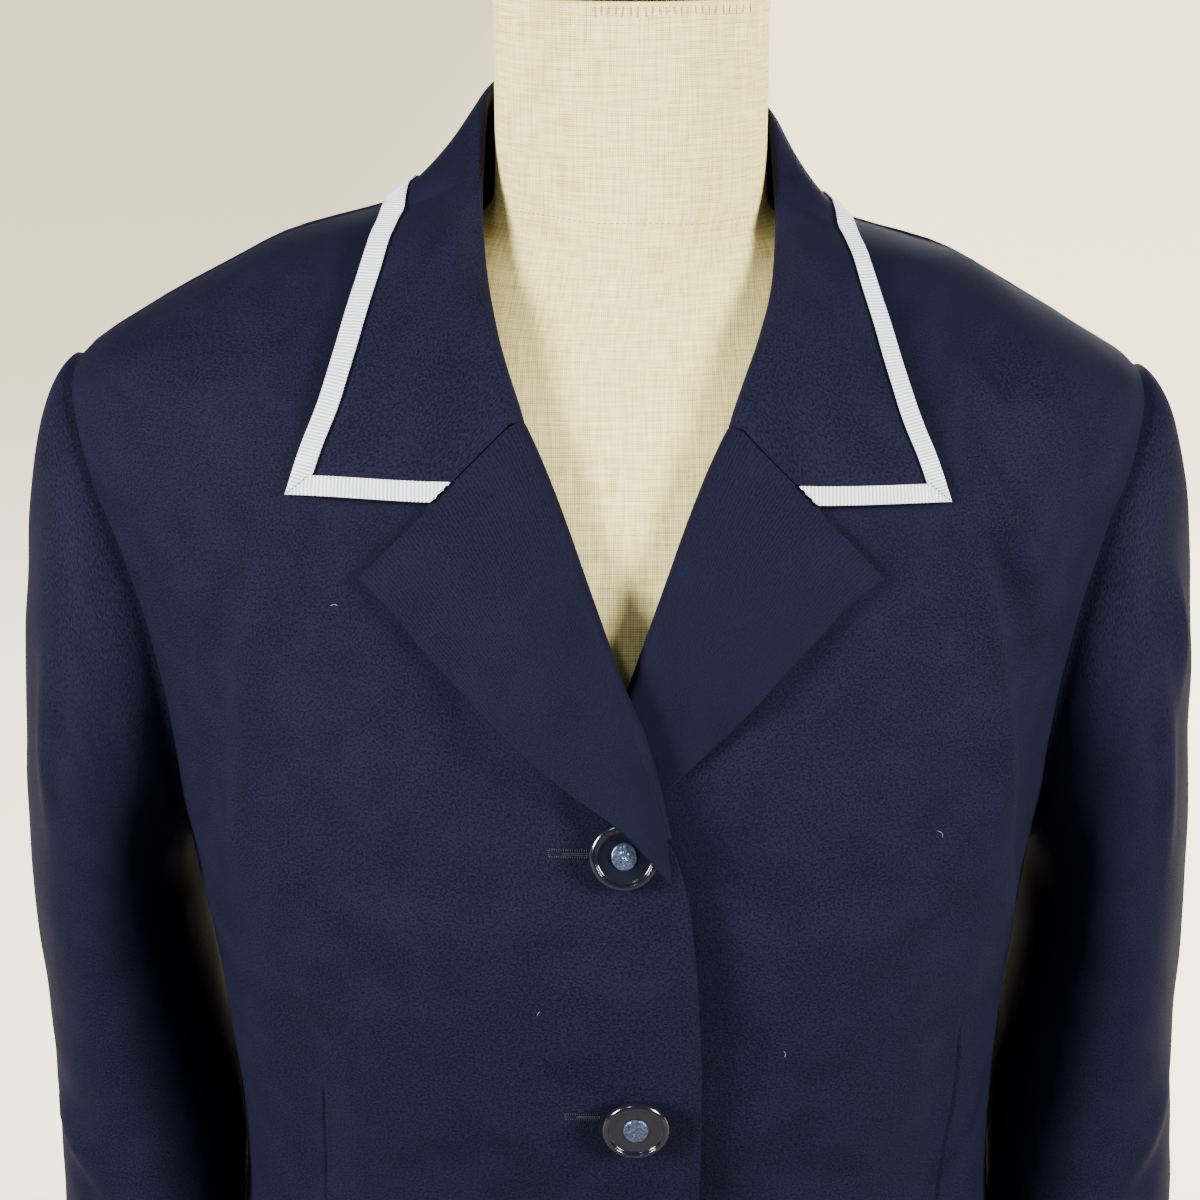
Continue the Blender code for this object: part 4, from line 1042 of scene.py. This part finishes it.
def sleeve_points(side, under):
    """The outer face of one of a sleeve's two pieces."""
    stations = [even(SLEEVE_HEAD_ROWS, 0.015)[:-1], even(SLEEVE_ROWS_BELOW, 1.0, 2.0)]
    stations = np.concatenate(stations)[:, None]
    if under:
        low = FRONT_SEAM_STEP + SLEEVE_SEAM_GAP
        high = 2 * ARMHOLE_STEPS - BACK_SEAM_STEP - SLEEVE_SEAM_GAP
    else:
        low = SLEEVE_SEAM_GAP - BACK_SEAM_STEP
        high = FRONT_SEAM_STEP - SLEEVE_SEAM_GAP
    steps = even(int(SLEEVE_STEP_COLUMNS * (high - low)), low, high)[None]
    turn = (steps * STEP_ANGLE) % (2.0 * math.pi) + 0.0 * stations
    station = stations + 0.0 * steps
    head = sleeve_head(side, turn, np.minimum(station, 1.0))
    height = mix(SLEEVE_ROWS[0][0], SLEEVE_ROWS[-1][0], np.maximum(station - 1.0, 0.0))
    points = np.where(wide(station < 1.0), head, sleeve_ring(side, turn, height))
    wanted = mix(0.0, SEAM_CLEAR, smooth_step(0.0, 0.10, station))
    wanted = mix(wanted, SLEEVE_CLEAR, smooth_step(0.2, 1.0, station))
    clear = height_off_body(points)
    points = np.where(wide(clear < wanted), off_body(points, wanted), points)
    normals = grid_normals(points)
    if dot(normals, points - sleeve_middle(side, height)).mean() < 0.0:
        normals = -normals
    around = np.where(turn > math.pi, turn - 2.0 * math.pi, turn) * SLEEVE_RADIUS
    rise = waver(points, SLEEVE_SEED + side)
    for line in SLEEVE_FOLDS[side]:
        rise = rise + CREASE_DEPTH * ridge(around, points[..., 2], line, True)
    rise = np.where(clear < 0.012, np.maximum(rise, -0.0002), rise) * smooth_step(0.03, 0.20, station)
    points = points + normals * wide(rise)
    return settled(np.concatenate([sleeve_tuck(side, turn[0]), points]))


def collar_line(line, share):
    """Points of the collar's roll, edge or seam at shares of its half."""
    return point_array(*(collar(line + axis, share) for axis in ("_x", "_y", "_z")))


def collar_frame(share):
    """Tangent and outward direction of the collar's roll at shares of its half."""
    ahead = collar_line("roll", np.minimum(share + 0.01, 1.0))
    tangent = unit(ahead - collar_line("roll", np.maximum(share - 0.01, 0.0)))
    tangent = np.where(wide(share > 0.999), np.array((-1.0, 0.0, 0.0)), tangent)
    roll = collar_line("roll", share)
    level = unit(roll * (1.0, 1.0, 0.0))
    roll[..., 2] = np.minimum(roll[..., 2], 0.060)
    outward = mix(body_normal(roll), level, wide(smooth_step(0.10, 0.55, share)))
    return tangent, unit(without(outward, tangent))


def collar_fold(share):
    free = smooth_step(*ROLL_SHARES, share)
    return mix(FOLD_RADIUS, COLLAR_ROLL_RADIUS, free), mix(-WALL / 2.0, 0.0, free)


def leaf_point(share, across):
    """The collar's upper face between its roll and its outer edge, on the wearer's left."""
    tangent, outward = collar_frame(share)
    towards = unit(np.cross(outward, tangent))
    radius, middle = collar_fold(share)
    start = collar_line("roll", share) - towards * wide(radius) + outward * wide(middle + radius)
    end = collar_line("edge", share)
    at_back = smooth_step(*BACK_SHARES, share)
    bend = mix(start, end, wide(mix(COLLAR_FALL[0], BACK_FALL[0], at_back)))
    bend[..., 2] = mix(start[..., 2], end[..., 2], mix(COLLAR_FALL[1], BACK_FALL[1], at_back))
    across_points = wide(across)
    free = mix(mix(start, bend, across_points), mix(bend, end, across_points), across_points)
    lowest = WALL + mix(LAY_GAP, COLLAR_GAP, smooth_step(*GAP_SHARES, share))
    low = (share > LAID_SHARES[0]) & (height_off_body(free) < lowest)
    free = np.where(wide(low), off_body(free, lowest), free)
    laid = mix(start, end, across_points)
    hat = np.where(across < NOTCH_SHARE, across / NOTCH_SHARE, (1.0 - across) / (1.0 - NOTCH_SHARE))
    laid[..., 2] -= NOTCH_DROP * hat * np.maximum(1.0 - share / NOTCH_END, 0.0) ** 2
    laid[..., 1] = on_ring(laid[..., 0], laid[..., 2])[..., 1]
    laid = off_body(laid, lowest + LEAF_BOW * np.sin(math.pi * across))
    return mix(laid, free, wide(smooth_step(*LAID_SHARES, share)))


def fold_points(crest, tangent, outward, hidden_end, radius, level, flat_count):
    """Points round a folded edge, from its hidden end to where the upper layer starts."""
    towards = unit(np.cross(outward, tangent))
    centre = crest - towards * wide(radius) + outward * wide(level)
    inner = centre - outward * wide(radius)
    points = [mix(hidden_end, inner, share) for share in even(flat_count + 1)[:-1]]
    for turn in even(FOLD_TURNS, -math.pi / 2.0, math.pi / 2.0):
        points.append(centre + outward * wide(radius * math.sin(turn))
                      + towards * wide(radius * math.cos(turn)))
    return points


def collar_side(points, side, share, across):
    """Points of the collar's half put on their side, where the collar lies."""
    roll_shift = mix(CENTRE_X, COLLAR_ROLL_SHIFT, smooth_step(0.10, 0.40, share))
    shift = mix(roll_shift, COLLAR_EDGE_SHIFT, across)
    lift = CORNER_LIFT[side] * smooth_step(0.20, 1.0, across) * (1.0 - smooth_step(0.0, 0.32, share))
    lifted = off_body(points + wide(lift) * (0.0, 0.0, 1.0), height_off_body(points))
    at_left = smooth_step(0.0, 0.050, side * points[..., 0])
    tilt = COLLAR_TILT * at_left * smooth_step(0.35, 0.60, share) * (1.0 - across)
    points = np.where(wide(lift > 0.0), lifted, points)
    return settled(point_array(side * points[..., 0] + shift, points[..., 1], points[..., 2] - tilt))


def collar_points():
    """The collar's outer face: its hidden stand, the roll and the leaf that falls over it."""
    shares = [even(COLLAR_STATIONS[0], 0.0, 0.6), even(COLLAR_STATIONS[1], 0.6, 1.0)[1:]]
    shares = np.concatenate(shares)
    tangent, outward = collar_frame(shares)
    radius, middle = collar_fold(shares)
    seam = collar_line("seam", shares)
    under = seam.copy()
    under[..., 1] = on_ring(seam[..., 0], seam[..., 2])[..., 1]
    under = off_body(under, -2.0 * WALL - LAY_GAP)
    seam = mix(under, seam, wide(smooth_step(0.52, 0.64, shares)))
    points = fold_points(collar_line("roll", shares), tangent, outward, seam, radius, middle, 8)
    fold_end = len(points)
    leaf = even(LEAF_COLUMNS, 0.02, 1.0)
    points += [leaf_point(shares, value + 0.0 * shares) for value in leaf]
    across = np.concatenate([np.zeros(fold_end), leaf])[None]
    half = np.stack(points, axis=1)
    column = np.arange(1, len(points) - 1) - fold_end
    amount = window(-8, -3, 3, 10, column)
    amount = 0.5 * wide(amount[None] * smooth_step(0.12, 0.30, shares)[:, None])
    for _ in range(FOLD_SMOOTHINGS):
        half[:, 1:-1] += ((half[:, :-2] + half[:, 2:]) / 2.0 - half[:, 1:-1]) * amount
    near = 1.0 - smooth_step(0.0, 0.05, shares[:, None])
    half[..., 2] -= GORGE_CLOSE * near * (1.0 - smooth_step(0.0, NOTCH_SHARE, across))
    left, right = (collar_side(half, side, shares[:, None], across) for side in (1, -1))
    return np.concatenate([left, right[-2::-1]])


def square_scale(points, ahead, along):
    """Metres square to a line, for the step from points to ahead; along points down the line."""
    return np.linalg.norm(without(ahead - points, unit(along)), axis=-1)


def front_scale(across):
    """Metres from the collar's free front edge for each unit of share, at these places across."""
    zero = 0.0 * across
    free = np.maximum(across, NOTCH_SHARE + 0.06)
    along = leaf_point(zero, free) - leaf_point(zero, free - 0.05)
    return square_scale(leaf_point(zero, across), leaf_point(zero + 0.03, across), along) / 0.03


def gorge_rise(across):
    """How far the gorge stands above the line of the collar's free front edge."""
    corner = leaf_point(np.zeros(1), np.array([NOTCH_SHARE]))
    along = leaf_point(np.zeros(1), np.array([NOTCH_SHARE + 0.10])) - corner
    rise = square_scale(corner, leaf_point(0.0 * across, across), along)
    return np.where(across < NOTCH_SHARE, rise, 0.0)


def side_scale(share):
    """Metres from the collar's outer edge for each unit of across."""
    one = 1.0 + 0.0 * share
    here = leaf_point(share, one)
    along = leaf_point(share + np.where(share > 0.5, -0.02, 0.02), one) - here
    return square_scale(here, leaf_point(share, one - 0.06), along) / 0.06


def ribbed(share, across, sides):
    """A stretch of ribbon laid on the collar's leaf, with its ribs square to its outer edge."""
    base = leaf_point(share, across)
    edge = base[:, 0]
    run = run_length(edge)
    place = run[:, None] + dot(base - edge[:, None], unit(np.gradient(edge, axis=0))[:, None])
    length = run[-1]
    ribs_along = int(length / RIB_PITCH)
    fine = even(6 * ribs_along + 1, 0.0, length)[:, None]
    slant = min(RIB_SLANT, length * 0.45)
    at = fine + place[0] * (1.0 - smooth_step(0.0, slant, fine))
    at = at + (place[-1] - length) * smooth_step(length - slant, length, fine)
    columns = range(RIBBON_LAYERS)
    share, across = (
        np.stack([np.interp(at[:, k], place[:, k], values[:, k]) for k in columns], axis=-1)
        for values in (share, across))
    base = leaf_point(share, across)
    normals = grid_normals(base)
    if dot(normals[0, 0], body_normal(base[0, 0])) < 0.0:
        normals = -normals
    width = even(RIBBON_LAYERS)[None]
    rib = at * ribs_along / length
    ribs = -RIB_RISE * np.cos(2.0 * math.pi * rib)
    ribs = ribs * window(0.0, 0.08, 0.92, 1.0, width)
    half = base + normals * wide(RIBBON_WALL + RIBBON_GAP + ribs)
    points = [collar_side(half, side, share, across) for side in sides]
    uv = np.stack([width + 0.0 * rib, rib], axis=-1)
    if len(sides) == 1:
        return points[0], uv
    return np.concatenate([points[0], points[1][-2::-1]]), np.concatenate([uv, uv[-2::-1]])


def ribbon_front(side):
    """The ribbon's leg on the collar's front edge, from the gorge to the mitre."""
    width = RIBBON_WIDTH * even(RIBBON_LAYERS)[None]
    gorge = even(60, NOTCH_SHARE, 0.10)
    start = np.interp(width, gorge_rise(gorge), gorge)
    end = 1.0 - width / side_scale(np.zeros(1))
    across = mix(start, end, even(60)[:, None])
    share = np.maximum(width - gorge_rise(across), 0.0) / front_scale(across)
    return ribbed(share, across, (side,))


def ribbon_round():
    """The ribbon's long leg, on the outer edge from mitre to mitre round the back."""
    width = RIBBON_WIDTH * even(RIBBON_LAYERS)[None]
    start = width / front_scale(np.ones(1))
    share = mix(start, 1.0, even(120)[:, None])
    across = 1.0 - width / side_scale(share)
    return ribbed(share, across, (1, -1))


def lapel_roll(side, share):
    if side > 0:
        share = np.minimum(share, LEFT_ROLL_END)
    points = on_ring(side * lapel("roll_x", share) + CENTRE_X, lapel("roll_z", share))
    return off_body(points, panel_lift(side, points))


collar_grid = collar_points()


def closed_gorge(points, gorge):
    """A lapel whose first rows are drawn to the collar's end, so that the gorge seam closes."""
    for place in range(len(points[0])):
        reach = gorge - points[0, place]
        apart = np.linalg.norm(reach, axis=-1)
        nearest = apart.argmin()
        close = GORGE_SEAM / max(apart[nearest], GORGE_SEAM)
        pull = reach[nearest] * (1.0 - close) * (1.0 - smooth_step(*GORGE_REACH, apart[nearest]))
        points[:4, place] += pull * wide(GORGE_BLEND)
    return points


def lapel_points(side):
    """A lapel's outer face: its hidden edge, the roll and the leaf that lies on the front."""
    right = side < 0
    end_share = 1.0 if right else LEFT_ROLL_END
    share = even(LAPEL_STATIONS, 0.004, 1.0 if right else LEFT_LAPEL_END)
    high = np.minimum(share + 0.01, end_share)
    low = np.minimum(np.maximum(share - 0.01, 0.0), high - 0.01)
    crest = lapel_roll(side, share)
    tangent = unit(lapel_roll(side, low) - lapel_roll(side, high)) * side
    outward = unit(without(body_normal(crest), tangent))
    towards = unit(np.cross(outward, tangent))
    back_length = mix(0.012, 0.0060, smooth_step(0.50, 0.66, share) * right)
    hidden_end = crest - towards * wide(back_length) - outward * (2.0 * WALL + LAY_GAP)
    radius = FOLD_RADIUS * mix(1.0, 0.55, smooth_step(0.90, 1.0, share) * right)
    points = fold_points(crest, tangent, outward, hidden_end, radius, -WALL / 2.0, 6)
    start = points[-1]
    bow = LAPEL_BELLY[side] * np.sin(math.pi * share)
    edge_x = side * (lapel("edge_x", share) + bow * 0.7) + CENTRE_X
    edge_x = edge_x - LAPEL_SHIFT * (1.0 - smooth_step(0.0, 0.60, share))
    end = on_ring(edge_x, lapel("edge_z", share) - bow * 0.7)
    bloom = lapel("bloom", share)
    if not right:
        bloom = bloom * (1.0 - smooth_step(0.50, 0.74, share))
    for across in even(LEAF_COLUMNS, 0.03, 1.0):
        point = mix(start, end, across)
        over = bloom * (1.0 - (1.0 - across) ** 2)
        height = WALL + LAY_GAP + panel_lift(side, point) + fold_rise(point, False) + over
        points.append(off_body(point, height))
    return closed_gorge(settled(np.stack(points, axis=1)), collar_grid[-1 if right else 0])


def sew(name, nodes, points, slot, outward, cut, rests_on, **shape):
    """A piece of cloth in a slot's finish, with the nodes that it stands for; its cut is not used."""
    surface = {"jacket_cloth": crepe, "lapel_cloth": twill, "ribbon": grosgrain}[slot]
    piece = finish_piece(shell(name, points, surface, np.array(outward), **shape), slot, *nodes)


for side, word in SIDES:
    ahead = (side * 0.3, -1.0, 0.0)
    panels = ["front_" + word, "back_" + word]
    sew("cloth_front_" + word, ["front_" + word], front_points(side),
        "jacket_cloth", ahead, "front", ["form_body"])
    sew("cloth_back_" + word, ["back_" + word], back_points(side),
        "jacket_cloth", (side * 0.3, 1.0, 0.0), "back", ["form_body"])
    sew("cloth_sleeve_top_" + word, ["sleeve_top_" + word], sleeve_points(side, False),
        "jacket_cloth", (side, 0.0, 0.0), "sleeve_top", panels)
    sew("cloth_sleeve_under_" + word, ["sleeve_under_" + word], sleeve_points(side, True),
        "jacket_cloth", (-side, 0.0, 0.0), "sleeve_under", ["sleeve_top_" + word])
    sew("cloth_lapel_" + word, ["lapel_" + word], lapel_points(side),
        "lapel_cloth", ahead, "lapel_" + word, ["front_" + word])

sew("cloth_collar", ["collar"], collar_grid, "jacket_cloth", (0.0, -0.2, 1.0), "collar",
    ["front_right", "front_left", "back_right", "back_left"])
points, uv = ribbon_round()
sew("ribbon_round", ["collar_ribbon"], points, "ribbon", (0.0, -0.3, 1.0), "ribbon_round", ["collar"],
    thickness=RIBBON_WALL, uv=uv)
for side, word in SIDES:
    points, uv = ribbon_front(side)
    sew("ribbon_front_" + word, [], points, "ribbon", (0.0, -0.3, 1.0), "ribbon_front", ["collar"],
        thickness=RIBBON_WALL, uv=uv)


def form_ring(turn, height):
    power = form("power", height)
    across = signed_power(np.sin(turn), 2.0 / power)
    along = signed_power(np.cos(turn), 2.0 / power)
    depth = np.where(along > 0.0, form("front", height), form("back", height))
    x = form("middle_x", height) + form("half_width", height) * across
    return point_array(x, -depth * along, height)


def make_form():
    """The linen-covered form, closed at its neck and underneath."""
    high, low = FORM_ROWS[0][0], FORM_ROWS[-1][0]
    heights = np.concatenate([even(50, high, 0.030)[:-1], even(40, 0.030, -0.070)[:-1],
                              even(60, -0.070, -0.612), [-0.6165, -0.6192, low, low]])[:, None]
    shrink = np.ones(len(heights))
    shrink[-4:] = (0.997, 0.990, 0.980, 0.50)
    turn = math.pi * even(145, -1.0, 1.0)[None, :-1]
    points = form_ring(turn + 0.0 * heights, heights + 0.0 * turn)
    points[..., :2] *= shrink[:, None, None]
    closed = np.concatenate([points, points[:, :1]], axis=1)
    uv = metric_uv(closed)
    rows, columns = closed.shape[:2]
    uv[:, 1:, 0] = np.cumsum(np.linalg.norm(np.diff(closed, axis=1), axis=-1), axis=1)
    uv[..., 0] -= uv[:, columns // 2, None, 0]
    vertices = closed.reshape(-1, 3)
    faces = list(grid_faces(rows, columns, turned=True))
    top = len(vertices)
    vertices = np.concatenate([vertices, [(FORM_ROWS[0][1], 0.0, high), (0.0, 0.0, low)]])
    uvs = np.concatenate([uv.reshape(-1, 2), [(0.0, 0.0), (0.0, 0.0)]])
    for j in range(columns - 1):
        faces.append((top, j, j + 1))
        faces.append((top + 1, top - columns + j + 1, top - columns + j))
    return mesh_object("form_linen", vertices, faces, linen, uvs)


finish_piece(make_form(), "linen", "form_body")

cap_low = FORM_ROWS[0][0] + STAND_GAP
cap_radius = FORM_ROWS[0][2] + CAP_OVERHANG
cap_profile = [(cap_radius * out, cap_low + NECK_CAP_HEIGHT * up) for out, up in CAP_PROFILE]
cap = lathe("form_cap", rounded(cap_profile, 0.004), 96, cap_wood, origin=(FORM_ROWS[0][1], 0.0, 0.0))
finish_piece(cap, "neck_cap", "neck_cap")

pole_low = BASE_THICKNESS + STAND_GAP - TIP_HEIGHT
pole_high = FORM_ROWS[-1][0] - STAND_GAP
pole_profile = [(POLE_RADIUS * out, pole_high - down) for out, down in POLE_TOP]
pole_profile += [(POLE_RADIUS * out, pole_low + up) for out, up in POLE_FOOT]
pole = lathe("stand_pole_metal", rounded(pole_profile, 0.0015), 64, pole_metal)
finish_piece(pole, "pole", "stand_pole")

base_top = BASE_THICKNESS - TIP_HEIGHT
base_profile = [(BASE_RADIUS * out, base_top - down) for out, down in BASE_PROFILE]
base = lathe("stand_base_plate", rounded(base_profile, 0.0015), 160, enamel)
finish_piece(base, "base", "stand_base")


def button_seat(number):
    """Middle of a button's back and the direction that its face looks in."""
    spot = on_ring(np.array(BUTTON_X[number]), np.array(BUTTON_HEIGHTS[number]))
    return off_body(spot, panel_lift(-1, spot) + BUTTON_STAND_OFF), body_normal(spot)


def make_button(number):
    profile = [(BUTTON_RADIUS * out, BUTTON_THICKNESS * up) for out, up in BUTTON_PROFILE]
    profile += [(SHANK_RADIUS + 0.0008, 0.0), (SHANK_RADIUS, -0.0004),
                (SHANK_RADIUS, 0.0012 - BUTTON_STAND_OFF), (0.0, 0.0012 - BUTTON_STAND_OFF)]
    name = "button_disc_%d" % (number + 1)
    return lathe(name, rounded(profile, 0.0005, 3), 72, button_gloss, *button_seat(number))


def make_nugget(number):
    """A pebbled oval in the button's face."""
    rings, sides = 20, 44
    seat, outward = button_seat(number)
    side = unit(np.cross((0.0, 0.0, 1.0), outward))
    up = np.cross(outward, side)
    radius = even(rings + 1)[1:, None]
    angle = 2.0 * math.pi * np.arange(sides)[None] / sides
    x = INSET_HALF_WIDTH * radius * np.cos(angle)
    y = INSET_HALF_HEIGHT * radius * np.sin(angle)
    random = np.random.default_rng(20 + number)
    seeds = random.uniform(-1.1, 1.1, size=(PEBBLES, 2)) * (INSET_HALF_WIDTH, INSET_HALF_HEIGHT)
    heights = random.uniform(0.3, 1.0, size=PEBBLES)
    apart = np.hypot(x[..., None] - seeds[:, 0], y[..., None] - seeds[:, 1])
    pebble = heights[apart.argmin(axis=-1)] * np.exp(-(apart.min(axis=-1) / PEBBLE_RADIUS) ** 2)
    rise = 0.0004 + 0.00050 * pebble + 0.0003 * np.sqrt(np.clip(1.0 - radius ** 2, 0.0, 1.0))
    rise = np.where(radius > 0.97, 0.0, rise)
    centre = seat + outward * (BUTTON_THICKNESS * 0.60 + 0.0001)
    points = centre + wide(x) * side + wide(y) * up + wide(rise) * outward
    ends = [centre + outward * 0.0009, centre - outward * 0.0001]
    faces = list(grid_faces(rings, sides, turned=True, closed=True))
    faces += end_fans(rings * sides, sides)
    vertices = np.concatenate([points.reshape(-1, 3), ends])
    piece = mesh_object("button_nugget_%d" % (number + 1), vertices, faces, nugget)
    piece.data.set_sharp_from_angle(angle=math.radians(70))
    return piece


def buttonhole(number):
    """Threads of a buttonhole beside its button: two long rows, the end and the slit's lips."""
    left, right = HOLE_ENDS[number]
    height = HOLE_HEIGHTS[number]
    across = even(5)
    level = 0.0 * across
    places = []
    for row, lean in ((HOLE_HALF, 0.0001), (-HOLE_HALF, -0.0001)):
        for x in np.arange(left, right, HOLE_PITCH):
            places.append((x + level, height + row + lean + (across - 0.5) * HOLE_STITCH))
    for z in np.arange(-HOLE_HALF, HOLE_HALF + 0.0001, 0.0007):
        places.append((left - 0.0008 + across * 0.0013, height + z + level))
    lines = []
    for x, z in places:
        spot = face_point(-1, x, z)
        out = body_normal(spot)
        rise = THREAD_RISE * np.sin(math.pi * across)
        lines.append((spot + out * wide(rise), out, THREAD_RADIUS))
    along = even(14)
    for row in (0.00028, -0.00028):
        spot = face_point(-1, mix(mix(left, right, 0.30), right, along), height + row + 0.0 * along)
        lines.append((spot, body_normal(spot), LIP_RADIUS))
    return strands("buttonhole_%d" % (number + 1), lines, navy_thread)


def form_spot(x, height):
    """A point of the form's front face and the direction that it faces in."""
    power = form("power", height)
    across = (x - form("middle_x", height)) / form("half_width", height)
    along = np.maximum(1.0 - np.abs(across) ** power, 0.0) ** (1.0 / power)
    spot = point_array(x, -form("front", height) * along, height)
    out = point_array(across / form("half_width", height), -along / form("front", height), 0.0)
    return spot, unit(out)


def neck_stitches():
    """The seam where the neck's linen joins the body's, and the whipped edge under the cap."""
    x = 0.004 + 0.0526 * np.sin(even(220, -1.45, 1.45))
    spot, out = form_spot(x, NECK_SEAM_HEIGHT - 0.030 * x + 0.0004 * np.sin(x * 160.0))
    lines = stitch_line(spot, out, 0.0024, 0.0014, THREAD_RADIUS, 0.00010)
    random = np.random.default_rng(5)
    for place in np.arange(-0.010, 0.048, 0.0026):
        across = even(6)
        lean = random.uniform(-0.0006, 0.0006)
        height = mix(WHIP_HEIGHTS[0], WHIP_HEIGHTS[1] - random.uniform(0.0, 0.0008), across)
        spot, out = form_spot(place + lean * across, height)
        lines.append((spot + out * 0.00012, out, 0.00017))
    return strands("neck_stitching", lines, tan_thread)


def ribbon_stitches():
    """Small tacks along the ribbon's mitres."""
    width = RIBBON_WIDTH * even(24, 0.06, 0.94)
    share = width / front_scale(np.ones(1))
    across = 1.0 - width / side_scale(np.zeros(1))
    base = leaf_point(share, across)
    out = body_normal(base)
    lines = []
    for side in (-1, 1):
        path = collar_side(base + out * (RIBBON_WALL + RIBBON_GAP + RIB_RISE), side, share, across)
        lines += stitch_line(path, out, 0.0013, 0.0008, 0.00011, 0.00008)
    return strands("ribbon_tacks", lines, navy_thread)


def lint_fibres():
    """A few stray light fibres that cling to the cloth."""
    lines = []
    random = np.random.default_rng(8)
    along = even(12)
    for side, x, z, length in LINT:
        turn = random.uniform(0.0, math.pi)
        direction = turn + random.uniform(-1.2, 1.2) * along
        reach = length * along
        spot = face_point(side, x + reach * np.cos(direction), z + reach * np.sin(direction))
        out = body_normal(spot)
        lines.append((spot + out * 0.00020, out, LINT_RADIUS))
    return strands("lint", lines, lint)


for number in range(3):
    finish_piece(buttonhole(number), "jacket_cloth")
finish_piece(neck_stitches(), "linen")
finish_piece(ribbon_stitches(), "ribbon")
finish_piece(lint_fibres(), "jacket_cloth")

for number in range(3):
    name = str(number + 1)
    finish_piece(make_button(number), "button_face", "button_" + name)
    finish_piece(make_nugget(number), "button_inset", "button_inset_" + name)

camera_data = bpy.data.cameras.new("camera")
camera_data.sensor_width = 36.0
camera_data.lens = 18.0 / math.tan(math.radians(CAMERA_FIELD / 2.0))
camera = link("camera", camera_data)
camera.location = CAMERA_PLACE
camera.rotation_euler = (math.radians(CAMERA_TILT), 0.0, 0.0)
bpy.context.scene.camera = camera


def area_light(name, location, aim_height, size, power, color=(1.0, 1.0, 1.0)):
    """A soft light that looks at this height over the stand's middle."""
    light = bpy.data.lights.new(name, "AREA")
    light.shape = "RECTANGLE"
    light.size, light.size_y = size
    light.energy = power
    light.color = color
    lamp = link(name, light)
    lamp.location = location
    back = Vector(location) - Vector((0.0, 0.0, aim_height))
    lamp.rotation_euler = back.to_track_quat("Z", "Y").to_euler()


area_light("left window", (-2.15, -1.5, 1.45), 0.66, (0.8, 0.9), 250.0, WINDOW_COLOR)
area_light("right window", (2.15, -1.5, 1.45), 0.66, (0.8, 0.9), 230.0, WINDOW_COLOR)
area_light("small window", (-0.5, -1.5, 1.75), 0.62, (0.22, 0.32), 5.0)
area_light("back light", (0.5, 2.3, 1.3), 0.60, (1.6, 1.0), 60.0)

world = bpy.data.worlds.new("studio")
world.use_nodes = True
world.node_tree.nodes["Background"].inputs["Color"].default_value = (0.95, 0.96, 1.0, 1.0)
world.node_tree.nodes["Background"].inputs["Strength"].default_value = 0.14
bpy.context.scene.world = world


def glowing_floor_material():
    """A floor that is darker in front, so that it throws little light up, and pale behind; it also
    glows as painted light, more strongly towards the back and towards the right.
    """
    material, tree, shader = new_material("pale glowing floor", {
        "Roughness": 0.8, "Emission Color": (1.0, 0.86, 0.55, 1.0),
    })
    place = add_node(tree, "ShaderNodeSeparateXYZ", {"Vector": texture_place(tree, "Object")}).outputs
    behind = add_node(tree, "ShaderNodeMapRange", {
        "Value": place["Y"], "From Min": -0.1, "From Max": 0.6,
    }).outputs[0]
    aside = add_node(tree, "ShaderNodeMapRange", {
        "Value": place["X"], "From Min": -0.8, "From Max": 0.8, "To Min": 1.6, "To Max": 3.4,
    }).outputs[0]
    set_color(tree, shader, (0.16, 0.15, 0.14), (0.82, 0.77, 0.66), behind, 0.0, 1.0)
    # Painted light: the floor's glow, growing towards the back and towards the right.
    tree.links.new(math_node(tree, "MULTIPLY", behind, aside), shader.inputs["Emission Strength"])
    return material


floor_mesh = bpy.data.meshes.new("floor")
corners = [(x * FLOOR_HALF, y * FLOOR_HALF, 0.0) for x, y in ((-1, -1), (1, -1), (1, 1), (-1, 1))]
floor_mesh.from_pydata(corners, [], [(0, 1, 2, 3)])
floor_mesh.materials.append(glowing_floor_material())
floor = link("floor", floor_mesh)
